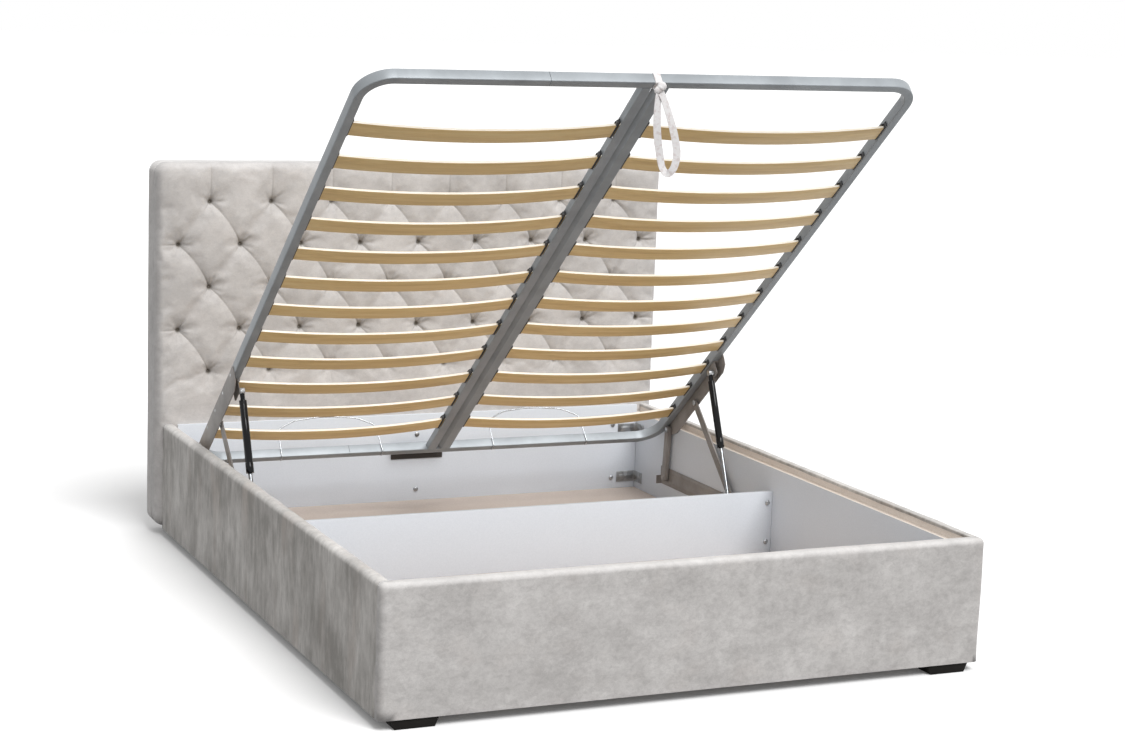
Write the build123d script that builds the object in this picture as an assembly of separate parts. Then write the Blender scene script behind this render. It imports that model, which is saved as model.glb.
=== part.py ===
from build123d import *
import math
import os

# Storage bed with a tufted headboard, covered box rails and a slat frame that lifts on a four-bar linkage.
# Lengths are in millimetres. The bed stands on z = 0, centred on x = 0 and y = 0, with its foot end towards -y.
# The slat frame is modelled lifted open. Its own places are u, from the head end towards the foot end,
# and n, upwards from the frame's underside.

# Overall sizes
bed_length = 2184.0
body_width = 1699.0
rail_top = 363.5
foot_height = 26.0
headboard_width = 1740.0
headboard_top = 1185.0
headboard_depth = 127.0

# Covered rails: velvet over thin foam, a raw board, and a white liner inside
cover_thickness = 12.5
cover_top_thickness = 5.5
cover_bottom_thickness = 3.0
cover_lap_thickness = 2.0
cover_lap_drop = 4.0
cover_round = 15.0
cover_inner_round = 4.0
cover_end_round = 18.0
board_thickness = 16.0
liner_thickness = 16.0
liner_drop = 28.5

# Bottom of the box and its two bays
floor_height = 72.0
bottom_board_thickness = 10.0
cleat_width = 30.0
front_bay_length = 1030.3
divider_thickness = 16.0
divider_height = 190.0
rear_panel_thickness = 16.0
rear_panel_drop = 2.5
panel_gap = 0.3

# Feet
foot_top_width = 126.0
foot_bottom_width = 104.0
foot_depth = 60.0
foot_setback = 5.0
foot_inset = 94.5

# Headboard: tufted pad, front board, timber frame, and the cover over its sides and back
pad_thickness = 52.0
pad_round = 22.0
headboard_bottom = 28.0
headboard_corner = 34.0
headboard_board_thickness = 16.0
headboard_cover_thickness = 6.0
headboard_cover_chamfer = 10.0
timber_width = 60.0
timber_uprights = 4

# Sewn tufts of the pad, in rows that are offset by half a pitch
tuft_rows = 5
tuft_wide_count = 9
tuft_pitch_x = 200.0
tuft_pitch_z = 135.0
tuft_top_drop = 121.0
tuft_radius = 34.0
tuft_seat_radius = 13.0
tuft_depth = 25.0
pleat_half_width = 46.0
pleat_depth = 13.0
edge_pleat_half_width = 26.0
edge_pleat_depth = 8.0
pleat_lift = 1.0
button_radius = 11.5
button_height = 7.0
head_sides = 8
rivet_sides = 10
bolt_sides = 6
hidden_sides = 12
head_taper_share = 0.45

# Slat frame of rectangular steel tube
tube_height = 30.0
tube_width = 25.0
tube_wall = 1.5
tube_edge_chamfer = 1.2
frame_corner_radius = 90.0
frame_side_gap = 5.0
frame_foot_gap = 13.4
frame_head_gap = 17.1
frame_over_divider = 6.0
frame_lift_angle = 40.07
frame_lift_shift = 163.7
seam_x = -300.0

# Folded centre rail
centre_rail_width = 76.0
centre_rail_height = 21.0
centre_rail_sheet = 2.0
groove_half_width = 9.5
groove_depth = 12.0
strap_slot_length = 16.0
strap_slot_width = 26.0

# Sprung slats and the plastic holders at their ends
slat_count = 12
slat_width = 53.0
slat_thickness = 8.0
slat_pitch = 142.0
slat_foot_u = 1775.0
slat_underside = 6.5
slat_sag = 24.0
slat_end_depth = 14.0
slat_fit = 0.3
holder_foot_margin = 14.0
holder_head_margin = 5.0
holder_lip = 2.5
holder_wall = 2.2
holder_rim = 3.0
holder_depth = 16.0
holder_fit = 0.25

# Top plates of the mechanism on the frame's side tubes
plate_sheet = 2.5
plate_rear_u = 86.0
plate_foot_u = 563.0
plate_rise = 24.0
plate_drop = 46.0
plate_rear_drop = 27.0
plate_rear_chamfer = 52.0
plate_foot_chamfer = 32.0
plate_foot_drop = 31.0
plate_tip_drop = 6.0
plate_tip_inset = 5.0
plate_round = 5.0
ear_inset = 18.0
ear_length = 76.0
ear_round = 8.0
rivet_radius = 5.0
rivet_height = 1.2
rivet_height_n = 12.0
rivet_first_u = 112.0
rivet_pitch = 104.0
rivet_count = 5

# Links, struts and their pivots
rear_pivot_u = 104.0
rear_pivot_n = -14.0
rear_base_height = 158.0
front_pivot_u = 322.0
front_pivot_n = -36.0
front_base_height = 148.0
strut_pivot_u = 505.0
strut_pivot_n = -30.0
link_gap = 0.5
rear_link_width = 24.0
rear_link_depth = 14.5
rear_link_sheet = 2.0
front_link_width = 28.0
front_link_end_width = 23.0
front_link_thickness = 4.5
front_link_inset = 10.5
pin_radius = 5.0
pin_clearance = 0.15
pin_head_radius = 8.5
pin_head_height = 3.2
pin_head_gap = 0.3
strut_inset = 35.0
strut_body_radius = 11.0
strut_body_start = 28.0
strut_body_end = 244.0
strut_wall = 1.6
strut_cap = 5.0
strut_collar_length = 30.0
strut_collar_radius = 11.6
strut_rod_radius = 6.0
strut_rod_engaged = 11.0
strut_neck_radius = 6.8
strut_eye_radius = 9.5
strut_eye_half_width = 7.0
strut_sleeve_length = 26.0
stud_flange_radius = 7.5
stud_flange_height = 2.5

# Base plates of the mechanism on the liners
base_sheet = 3.0
base_bottom = 130.0
base_height = 60.0
base_rear_reach = 51.0
base_front_reach = 70.0
base_flange_reach = 22.0
base_flange_height = 28.0
base_round = 5.0
base_rivet_radius = 5.0
base_rivet_height = 1.5
base_rivet_inset = 92.0
base_rivet_edge = 14.0

# Wire mattress stops on the head-end rail
stop_wire = 7.0
wire_sides = 6
stop_half_span = 167.0
stop_centre_x = 358.0
stop_height = 134.0
stop_shoulder = 70.0
stop_bend = 14.0
stop_lean = 14.0
stop_tuck = 21.0
stop_gap = 0.3

# Pull strap round the foot-end rail
strap_width = 20.0
strap_thickness = 2.0
strap_gap = 0.3
strap_half_span = 40.0
strap_drop = 180.0
strap_knot_width = 30.0
strap_knot_height = 26.0
strap_knot_depth = 10.0
strap_throat = 16.0
strap_offset_x = 32.0
strap_front_gap = 7.0

# Small metal parts of the box
bracket_sheet = 3.0
bracket_height = 36.0
bracket_panel_leg = 70.0
bracket_liner_leg = 58.0
bracket_upper_z = 279.0
bracket_lower_z = 112.0
divider_bracket_leg = 34.0
bolt_radius = 8.0
bolt_height = 5.0
panel_bolt_x = 715.0
panel_bolt_upper_z = 294.0
panel_bolt_lower_z = 109.0
divider_bolt_inset = 17.0
divider_bolt_upper_z = 228.0
divider_bolt_lower_z = 106.0
rest_width = 180.0
rest_reach = 40.0
rest_drop = 53.0
rest_sheet = 3.0
rest_gap = 2.0
overrun = 5.0

# Places worked out from the sizes above
front_y = -bed_length / 2
back_y = bed_length / 2
headboard_y = back_y - headboard_depth
side_x = body_width / 2
wall_thickness = cover_thickness + board_thickness + liner_thickness
inner_x = side_x - wall_thickness
inner_front_y = front_y + wall_thickness
board_bottom = foot_height + cover_bottom_thickness
board_top = rail_top - cover_top_thickness
liner_top = rail_top - liner_drop
cleat_top = floor_height - bottom_board_thickness
divider_y = inner_front_y + front_bay_length
divider_top = floor_height + divider_height
panel_y = headboard_y - rear_panel_thickness
cover_depth = cover_thickness + board_thickness + cover_lap_thickness

# The slat frame's closed and open places, as the lower outer corner of its head-end rail
frame_half_width = inner_x - frame_side_gap
closed_y = panel_y - frame_head_gap
closed_z = divider_top + frame_over_divider
open_y = closed_y - frame_lift_shift
frame_length = closed_y - inner_front_y - frame_foot_gap
tilt = math.radians(frame_lift_angle)
frame_place = Plane(
    origin=(0, open_y, closed_z), x_dir=(1, 0, 0), z_dir=(0, math.sin(tilt), math.cos(tilt))
).location


def open_point(u, n):
    """Place (y, z) of a point of the lifted frame."""
    return Vector(
        open_y - u * math.cos(tilt) + n * math.sin(tilt), closed_z + u * math.sin(tilt) + n * math.cos(tilt)
    )


def closed_point(u, n):
    """Place (y, z) of the same point with the frame down."""
    return Vector(closed_y - u, closed_z + n)


def lower_pivot(u, n, height):
    """Place (y, z) at one height that lies as far from a pivot of the open frame as of the closed one."""
    a = open_point(u, n)
    b = closed_point(u, n)
    middle = (a + b) / 2
    step = b - a
    return Vector(middle.X - (height - middle.Y) * step.Y / step.X, height)


def bearing(start, end):
    """Direction in degrees from one (y, z) place to another, from +y towards +z."""
    return math.degrees(math.atan2(end.Y - start.Y, end.X - start.X))


rear_base = lower_pivot(rear_pivot_u, rear_pivot_n, rear_base_height)
front_base = lower_pivot(front_pivot_u, front_pivot_n, front_base_height)
rear_top = open_point(rear_pivot_u, rear_pivot_n)
front_top = open_point(front_pivot_u, front_pivot_n)
strut_top = open_point(strut_pivot_u, strut_pivot_n)
strut_top_closed = closed_point(strut_pivot_u, strut_pivot_n)
strut_open_length = (strut_top - front_base).length
strut_closed_length = (strut_top_closed - front_base).length


def outline(points, rounds=0):
    """Closed face through corner points, with each corner rounded by its own or one shared radius."""
    return make_face(FilletPolyline(*points, radius=rounds, close=True).edges())


def prism(plane, points, thickness, rounds=0):
    """Solid of an outline drawn on a plane and pulled along the plane's normal."""
    return extrude(plane * outline(points, rounds), amount=thickness, dir=plane.z_dir)


def block(x0, x1, y0, y1, z0, z1):
    """Box between two corners."""
    return Pos((x0 + x1) / 2, (y0 + y1) / 2, (z0 + z1) / 2) * Box(abs(x1 - x0), abs(y1 - y0), abs(z1 - z0))


def frame_block(x0, x1, u0, u1, n0, n1):
    """Box in the slat frame's own places, before the frame is lifted."""
    return block(x0, x1, -u1, -u0, n0, n1)


def across(x, y=0, z=0):
    """Plane that looks along +x, with +y and +z as its own axes."""
    return Plane(origin=(x, y, z), x_dir=(0, 1, 0), z_dir=(1, 0, 0))


def rod_x(radius, x0, x1, y, z):
    """Round bar along x."""
    return Plane(origin=(x0, y, z), x_dir=(0, 1, 0), z_dir=(1, 0, 0)).location * Cylinder(
        radius, x1 - x0, align=(Align.CENTER, Align.CENTER, Align.MIN)
    )


def both_sides(piece):
    """A right-hand piece with its mirror image on the left."""
    return [piece, mirror(piece, about=Plane.YZ)]


def crowned_head(radius, height, plane):
    """Many-sided round head that narrows to its crown, seated on a plane."""
    taper = math.degrees(math.atan2(radius * head_taper_share, height))
    return plane.location * extrude(RegularPolygon(radius, head_sides), amount=height, taper=taper)


def sided_rod_x(sides, radius, x0, x1, y, z):
    """Bar along x with flat sides that touch a circle of the given radius."""
    plane = Plane(origin=(x0, y, z), x_dir=(0, 1, 0), z_dir=(1, 0, 0))
    return plane.location * extrude(RegularPolygon(radius, sides, major_radius=False), amount=x1 - x0)


pieces = {}


def keep(name, *shapes):
    """Keeps one sub-part, as one solid or as a group of separate solids."""
    solids = []
    for shape in shapes:
        solids.extend(shape.solids())
    pieces[name] = solids[0] if len(solids) == 1 else Compound(children=solids)


def keep_pair(name, *shapes):
    """Keeps a right-hand sub-part and its mirror image on the left."""
    keep("right_" + name, *shapes)
    keep("left_" + name, *[mirror(shape, about=Plane.YZ) for shape in shapes])


# Covered rails
def rail_cover_outline():
    """Section of a rail cover, as depth from the rail's face and height."""
    core = cover_thickness + board_thickness
    return [
        (0, foot_height),
        (0, rail_top),
        (cover_depth, rail_top),
        (cover_depth, board_top - cover_lap_drop),
        (core, board_top - cover_lap_drop),
        (core, board_top),
        (cover_thickness, board_top),
        (cover_thickness, board_bottom),
        (core, board_bottom),
        (core, foot_height),
    ]


def side_rails():
    """Side rail pieces of the right side: cover, board and liner."""
    start = front_y + cover_depth
    run = headboard_y - panel_gap - start
    plane = Plane(origin=(side_x, start, 0), x_dir=(-1, 0, 0), z_dir=(0, 1, 0))
    rounds = [0, cover_round, cover_inner_round] + [0] * (len(rail_cover_outline()) - 3)
    cover = prism(plane, rail_cover_outline(), run, rounds)
    board_x = side_x - cover_thickness
    board = block(board_x - board_thickness, board_x, start, start + run, board_bottom, board_top)
    liner = block(
        inner_x, inner_x + liner_thickness, inner_front_y - liner_thickness, start + run, foot_height, liner_top
    )
    liner -= block(
        inner_x - overrun, side_x, front_y, inner_front_y - liner_thickness + cover_lap_thickness + panel_gap,
        0, liner_top + overrun,
    )
    return cover, board, liner


def foot_rail():
    """Foot rail pieces: a cover that closes both corners, its board and its liner."""
    cover = block(-side_x, side_x, front_y, front_y + cover_depth, foot_height, rail_top)
    corners = cover.edges().filter_by(Axis.Z).group_by(Axis.Y)[0]
    cover = fillet(corners, cover_end_round)
    top_edges = [
        e for e in cover.edges().group_by(Axis.Z)[-1] if e.center().Y < front_y + cover_depth - panel_gap
    ]
    cover = fillet(top_edges, cover_round)
    board_x = side_x - cover_thickness
    core = front_y + cover_thickness + board_thickness
    cover -= block(-board_x, board_x, front_y + cover_thickness, core, board_bottom, board_top)
    cover -= block(-board_x, board_x, core, core + overrun, 0, board_top - cover_lap_drop)
    board = block(-board_x, board_x, front_y + cover_thickness, core, board_bottom, board_top)
    liner = block(-inner_x, inner_x, inner_front_y - liner_thickness, inner_front_y, foot_height, liner_top)
    return cover, board, liner


side_cover, side_board, side_liner = side_rails()
keep_pair("rail_cover", side_cover)
keep_pair("rail_board", side_board)
keep_pair("liner", side_liner)
foot_cover, foot_board, foot_liner = foot_rail()
keep("foot_rail_cover", foot_cover)
keep("foot_rail_board", foot_board)
keep("foot_liner", foot_liner)

# Panels and boards inside the box
panel_half = inner_x - panel_gap
keep("rear_panel", block(-panel_half, panel_half, panel_y, headboard_y, foot_height, rail_top - rear_panel_drop))
keep(
    "divider", block(-panel_half, panel_half, divider_y, divider_y + divider_thickness, floor_height, divider_top)
)
joint_y = divider_y + divider_thickness / 2
keep(
    "front_bottom_board",
    block(-panel_half, panel_half, inner_front_y + panel_gap, joint_y - panel_gap, cleat_top, floor_height),
)
keep(
    "rear_bottom_board",
    block(-panel_half, panel_half, joint_y, panel_y - panel_gap, cleat_top, floor_height),
)
cleat_half = inner_x - cleat_width
keep(
    "bottom_cleats",
    *both_sides(block(cleat_half, inner_x, inner_front_y, panel_y, foot_height, cleat_top)),
    block(-cleat_half, cleat_half, inner_front_y, inner_front_y + cleat_width, foot_height, cleat_top),
    block(-cleat_half, cleat_half, joint_y - cleat_width, joint_y + cleat_width, foot_height, cleat_top),
    block(-cleat_half, cleat_half, panel_y - cleat_width, panel_y, foot_height, cleat_top),
)


# Feet
def foot(x, y):
    """Tapered block, wide at the top, whose front face is upright."""
    half_top = foot_top_width / 2
    half_bottom = foot_bottom_width / 2
    plane = Plane(origin=(x, y, 0), x_dir=(1, 0, 0), z_dir=(0, -1, 0))
    section = [(-half_bottom, 0), (half_bottom, 0), (half_top, foot_height), (-half_top, foot_height)]
    return prism(plane, section, foot_depth)


foot_x = side_x - foot_inset
front_foot_y = front_y + foot_setback + foot_depth
keep("front_feet", *both_sides(foot(foot_x, front_foot_y)))
keep("rear_feet", *both_sides(foot(foot_x, panel_y)))


# Headboard
def rounded_slab(width, low, high, y0, y1, corner):
    """Upright slab with rounded corners, from y0 back to y1."""
    plane = Plane(origin=(0, y0, (low + high) / 2), x_dir=(1, 0, 0), z_dir=(0, -1, 0))
    face = plane * RectangleRounded(width, high - low, corner)
    return extrude(face, amount=y1 - y0, dir=(0, 1, 0))


def tuft_places():
    """Button places (x, z), row by row from the top."""
    rows = []
    for row in range(tuft_rows):
        count = tuft_wide_count - 1 + row % 2
        z = headboard_top - tuft_top_drop - row * tuft_pitch_z
        rows.append([((i - (count - 1) / 2) * tuft_pitch_x, z) for i in range(count)])
    return rows


def pleat(start, end, half_width, depth):
    """Cutter for one sewn pleat: a groove that narrows to the stitch line."""
    run = Vector(end[0] - start[0], 0, end[1] - start[1])
    along = run.normalized()
    plane = Plane(
        origin=(start[0], headboard_y, start[1]), x_dir=(-along.Z, 0, along.X), z_dir=(along.X, 0, along.Z)
    )
    top = pleat_lift + overrun
    section = [
        (-half_width, pleat_lift),
        (0, -depth),
        (half_width, pleat_lift),
        (half_width, top),
        (-half_width, top),
    ]
    return prism(plane, section, run.length)


def diagonal_runs(rows):
    """End places of the long diagonal pleats, which each pass through buttons of neighbouring rows."""
    limit = (tuft_wide_count - 1) / 2 * tuft_pitch_x
    runs = []
    for direction in (1, -1):
        for index, row in enumerate(rows[:-1]):
            for x, z in row:
                first = index == 0
                at_side = abs(x + direction * limit) < panel_gap
                if not first and not at_side:
                    continue
                steps = min(len(rows) - 1 - index, round((limit - direction * x) / (tuft_pitch_x / 2)))
                end = (x + direction * steps * tuft_pitch_x / 2, z - steps * tuft_pitch_z)
                runs.append(((x, z), end))
    return runs


def headboard_pad():
    """Padded front with its sewn tufts."""
    pad = rounded_slab(
        headboard_width, headboard_bottom, headboard_top, headboard_y, headboard_y + pad_thickness, headboard_corner
    )
    pad = fillet(pad.faces().sort_by(Axis.Y)[0].edges(), pad_round)
    rows = tuft_places()
    cutters = [pleat(a, b, pleat_half_width, pleat_depth) for a, b in diagonal_runs(rows)]
    for x, z in rows[0]:
        cutters.append(pleat((x, z), (x, headboard_top + overrun), edge_pleat_half_width, edge_pleat_depth))
    edge_x = headboard_width / 2 + overrun
    for row in rows[1::2]:
        for x, z in (row[0], row[-1]):
            cutters.append(pleat((x, z), (math.copysign(edge_x, x), z), edge_pleat_half_width, edge_pleat_depth))
    taper = math.degrees(math.atan2(tuft_radius - tuft_seat_radius, tuft_depth))
    for row in rows:
        for x, z in row:
            plane = Plane(origin=(x, headboard_y + tuft_depth, z), x_dir=(1, 0, 0), z_dir=(0, -1, 0))
            funnel = extrude(RegularPolygon(tuft_seat_radius, head_sides), amount=tuft_depth + overrun, taper=-taper)
            cutters.append(plane.location * funnel)
    return pad - cutters


def headboard_buttons():
    """Covered buttons, each seated at the bottom of its tuft."""
    buttons = []
    for row in tuft_places():
        for x, z in row:
            seat = Plane(origin=(x, headboard_y + tuft_depth, z), x_dir=(1, 0, 0), z_dir=(0, -1, 0))
            buttons.append(crowned_head(button_radius, button_height, seat))
    return buttons


def headboard_timber():
    """Uprights and cross rails between the front board and the back cover."""
    y0 = headboard_y + pad_thickness + headboard_board_thickness
    y1 = back_y - headboard_cover_thickness
    half = headboard_width / 2 - headboard_cover_thickness
    low = headboard_bottom + headboard_cover_thickness
    high = headboard_top - headboard_cover_thickness
    members = [
        block(-half + headboard_corner, half - headboard_corner, y0, y1, high - timber_width, high),
        block(-half + headboard_corner, half - headboard_corner, y0, y1, low, low + timber_width),
    ]
    span = 2 * half - timber_width - 2 * headboard_corner
    for i in range(timber_uprights):
        x = -span / 2 + span * i / (timber_uprights - 1)
        members.append(
            block(x - timber_width / 2, x + timber_width / 2, y0, y1, low + timber_width, high - timber_width)
        )
    return members


def headboard_cover():
    """Velvet over the headboard's sides, with its back panel."""
    y0 = headboard_y + pad_thickness
    outer = rounded_slab(headboard_width, headboard_bottom, headboard_top, y0, back_y, headboard_corner)
    outer = chamfer(outer.faces().sort_by(Axis.Y)[-1].edges(), headboard_cover_chamfer)
    t = headboard_cover_thickness
    inner = rounded_slab(
        headboard_width - 2 * t, headboard_bottom + t, headboard_top - t, y0 - overrun, back_y - t,
        headboard_corner - t,
    )
    return outer - inner


keep("headboard_pad", headboard_pad())
keep("headboard_buttons", *headboard_buttons())
keep("headboard_frame", *headboard_timber())
keep("headboard_cover", headboard_cover())
keep(
    "headboard_board",
    rounded_slab(
        headboard_width - 2 * headboard_cover_thickness,
        headboard_bottom + headboard_cover_thickness,
        headboard_top - headboard_cover_thickness,
        headboard_y + pad_thickness,
        headboard_y + pad_thickness + headboard_board_thickness,
        headboard_corner - headboard_cover_thickness,
    ),
)


# Slat frame, built flat in its own places and then lifted
def slat_span(index):
    """Head-side and foot-side edge of one slat row, as u."""
    foot_side = slat_foot_u - index * slat_pitch
    return foot_side - slat_width, foot_side


def holder_span(index, margin_change=0):
    """Head-side and foot-side end of a slat holder's rim, as u."""
    head_side, foot_side = slat_span(index)
    return head_side - holder_head_margin - margin_change, foot_side + holder_foot_margin + margin_change


tube_inner_x = frame_half_width - tube_width
slat_inner_x = centre_rail_width / 2 - slat_end_depth
slat_outer_x = tube_inner_x + slat_end_depth
slat_dip = slat_sag * 4 * (slat_end_depth + holder_rim) / (slat_outer_x - slat_inner_x)
sleeve_low = slat_underside - slat_dip - holder_wall
sleeve_high = slat_underside + slat_thickness + holder_lip - slat_fit


def slot_cutters(x0, x1):
    """Cutters for one column of slots, in which the slat holders sit."""
    cutters = []
    for index in range(slat_count):
        u0, u1 = holder_span(index, -holder_wall)
        cutters.append(frame_block(x0, x1, u0, u1, sleeve_low, sleeve_high))
    return cutters


def frame_tubes():
    """Rectangular tube bent round the whole frame, as its two welded pieces."""
    centre = Pos(0, -frame_length / 2, 0)
    width = 2 * frame_half_width

    def loop(inset, n0, n1):
        outer = RectangleRounded(width - 2 * inset, frame_length - 2 * inset, frame_corner_radius - inset)
        across_tube = tube_width - 2 * inset
        hole = RectangleRounded(
            width - 2 * inset - 2 * across_tube,
            frame_length - 2 * inset - 2 * across_tube,
            frame_corner_radius - inset - across_tube,
        )
        return centre * Pos(0, 0, n0) * extrude(outer - hole, amount=n1 - n0)

    shell = loop(0, 0, tube_height)
    rims = shell.edges().group_by(Axis.Z)[0] + shell.edges().group_by(Axis.Z)[-1]
    shell = chamfer(rims, tube_edge_chamfer)
    shell -= loop(tube_wall, tube_wall, tube_height - tube_wall)
    x0 = tube_inner_x - overrun
    x1 = tube_inner_x + tube_wall + overrun
    for cutter in slot_cutters(x0, x1):
        shell -= cutter
        shell -= mirror(cutter, about=Plane.YZ)
    left_side = frame_block(-width, seam_x, -overrun, frame_length + overrun, -overrun, tube_height + overrun)
    return shell & left_side, shell - left_side


def folded_sheet(points, thickness):
    """Closed outline of a sheet that is folded along the points, with its thickness on their left."""
    inner = []
    for i, point in enumerate(points):
        before = points[max(i - 1, 0)]
        after = points[min(i + 1, len(points) - 1)]
        normals = []
        for a, b in ((before, point), (point, after)):
            run = Vector(b[0] - a[0], b[1] - a[1])
            if run.length > 0:
                run = run.normalized()
                normals.append(Vector(-run.Y, run.X))
        mean = sum(normals, Vector(0, 0))
        mean = mean.normalized()
        reach = thickness / mean.dot(normals[0])
        inner.append((point[0] + mean.X * reach, point[1] + mean.Y * reach))
    return list(points) + inner[::-1]


def centre_rail():
    """Folded rail between the end rails, with its groove, its slots and a slot for the strap."""
    half = centre_rail_width / 2
    bends = [
        (half, centre_rail_height),
        (half, 0),
        (groove_half_width, 0),
        (0, groove_depth),
        (-groove_half_width, 0),
        (-half, 0),
        (-half, centre_rail_height),
    ]
    section = folded_sheet(bends[::-1], centre_rail_sheet)
    plane = Plane(origin=(0, -tube_width, 0), x_dir=(1, 0, 0), z_dir=(0, -1, 0))
    rail = prism(plane, section, frame_length - 2 * tube_width)
    for cutter in slot_cutters(half - centre_rail_sheet - overrun, half + overrun):
        rail -= cutter
        rail -= mirror(cutter, about=Plane.YZ)
    slot_u = frame_length - tube_width
    return rail - frame_block(
        -strap_slot_width / 2, strap_slot_width / 2, slot_u - strap_slot_length, slot_u + overrun,
        -overrun, tube_height,
    )


def slat(x0, x1, index):
    """Sprung strip between two slots, bowed towards the frame's underside."""
    u0, u1 = slat_span(index)
    low = slat_underside
    high = slat_underside + slat_thickness
    middle = (x0 + x1) / 2
    section = make_face(
        [
            ThreePointArc((x0, low), (middle, low - slat_sag), (x1, low)).edge(),
            Edge.make_line((x1, low), (x1, high)),
            ThreePointArc((x1, high), (middle, high - slat_sag), (x0, high)).edge(),
            Edge.make_line((x0, high), (x0, low)),
        ]
    )
    plane = Plane(origin=(0, -u0, 0), x_dir=(1, 0, 0), z_dir=(0, -1, 0))
    return extrude(plane * section, amount=u1 - u0, dir=(0, -1, 0))


def slat_holder(index, face_x, inward):
    """Plastic end cap: a rim on the wall's face and a sleeve through its slot, with a pocket for the slat."""
    u0, u1 = holder_span(index)
    rim_low = slat_underside - slat_dip - holder_lip
    rim_high = slat_underside + slat_thickness + holder_lip
    rim = frame_block(face_x - inward * holder_rim, face_x, u0, u1, rim_low, rim_high)
    inset = holder_wall + holder_fit
    sleeve = frame_block(
        face_x, face_x + inward * holder_depth, u0 + inset, u1 - inset,
        sleeve_low + holder_fit, sleeve_high - holder_fit,
    )
    s0, s1 = slat_span(index)
    pocket = frame_block(
        face_x - inward * (holder_rim + overrun), face_x + inward * (slat_end_depth + slat_fit),
        s0 - slat_fit, s1 + slat_fit, slat_underside - slat_dip - slat_fit, slat_underside + slat_thickness + slat_fit,
    )
    return rim + sleeve - pocket


left_tube, right_tube = frame_tubes()
keep("left_frame_tube", frame_place * left_tube)
keep("right_frame_tube", frame_place * right_tube)
keep("centre_rail", frame_place * centre_rail())
for row in range(slat_count):
    right_slat = frame_place * slat(slat_inner_x, slat_outer_x, row)
    keep("slat_row_" + str(row + 1), *both_sides(right_slat))
outer_holders = []
centre_holders = []
for row in range(slat_count):
    outer_holders += both_sides(frame_place * slat_holder(row, tube_inner_x, 1))
    centre_holders += both_sides(frame_place * slat_holder(row, centre_rail_width / 2, -1))
keep("outer_slat_holders", *outer_holders)
keep("centre_slat_holders", *centre_holders)


# Mechanism plates on the frame
def top_plate():
    """Flat plate on the side tube's outer face, with a folded ear for the strut under the tube."""
    corners = [
        (plate_rear_u, plate_rise),
        (plate_rear_u, -plate_rear_drop),
        (plate_rear_u + plate_rear_chamfer, -plate_drop),
        (plate_foot_u - plate_foot_chamfer, -plate_drop),
        (plate_foot_u - plate_tip_inset, -plate_foot_drop),
        (plate_foot_u, -plate_tip_drop),
        (plate_foot_u, plate_rise),
    ]
    points = [(-u, n) for u, n in corners]
    plate = prism(across(frame_half_width), points, plate_sheet, plate_round)
    ear_x = frame_half_width - ear_inset
    u0 = strut_pivot_u - ear_length / 2
    u1 = strut_pivot_u + ear_length / 2 - plate_foot_chamfer / 2
    web = frame_block(ear_x, frame_half_width, u0, u1, -plate_sheet, 0)
    ear_points = [(-u0, 0), (-u0, -plate_drop + plate_sheet), (-u1, -plate_drop + plate_sheet), (-u1, 0)]
    ear = prism(across(ear_x), ear_points, plate_sheet, [0, ear_round, ear_round, 0])
    return plate + web + ear


def plate_rivets():
    """Low rivet heads on the top plate, over the tube."""
    heads = []
    for i in range(rivet_count):
        u = rivet_first_u + i * rivet_pitch
        x = frame_half_width + plate_sheet
        heads.append(sided_rod_x(rivet_sides, rivet_radius, x, x + rivet_height, -u, rivet_height_n))
    return heads


rear_link_x = frame_half_width - link_gap - rear_link_depth
front_link_x = frame_half_width - front_link_inset + link_gap
strut_x = inner_x - strut_inset
ear_face_x = frame_half_width - ear_inset


def frame_pivots():
    """Bolts of the frame's pivots: rear link, front link and strut stud."""
    rear_head = rear_link_x - pin_head_gap
    front_head = front_link_x - pin_head_gap
    stud_face = strut_x + strut_eye_half_width + pin_head_gap
    rear = rod_x(pin_radius, rear_head, frame_half_width, -rear_pivot_u, rear_pivot_n)
    rear += sided_rod_x(bolt_sides, pin_head_radius, rear_head - pin_head_height, rear_head, -rear_pivot_u, rear_pivot_n)
    front = rod_x(pin_radius, front_head, frame_half_width, -front_pivot_u, front_pivot_n)
    front += sided_rod_x(
        bolt_sides, pin_head_radius, front_head - pin_head_height, front_head, -front_pivot_u, front_pivot_n
    )
    stud = rod_x(pin_radius, strut_x - strut_eye_half_width, ear_face_x, -strut_pivot_u, strut_pivot_n)
    stud += sided_rod_x(bolt_sides, stud_flange_radius, stud_face, ear_face_x, -strut_pivot_u, strut_pivot_n)
    return [rear, front, stud]


keep_pair("top_plate", frame_place * top_plate())
rivets = []
for head in plate_rivets():
    rivets += both_sides(frame_place * head)
keep("plate_rivets", *rivets)
pivots = []
for bolt in frame_pivots():
    pivots += both_sides(frame_place * bolt)
keep("frame_pivots", *pivots)


# Links and struts, built on the right and mirrored
def along(x, start, end):
    """Plane at x whose own x axis runs from one (y, z) place to another."""
    run = end - start
    return Plane(origin=(x, start.X, start.Y), x_dir=(0, run.X, run.Y), z_dir=(1, 0, 0))


def strip(x, start, end, width, thickness):
    """Flat strip with round ends about two places, pulled along +x."""
    length = (end - start).length
    plane = along(x, start, end)
    face = plane * Pos(length / 2, 0, 0) * SlotCenterToCenter(length, width)
    return extrude(face, amount=thickness, dir=(1, 0, 0))


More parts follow.
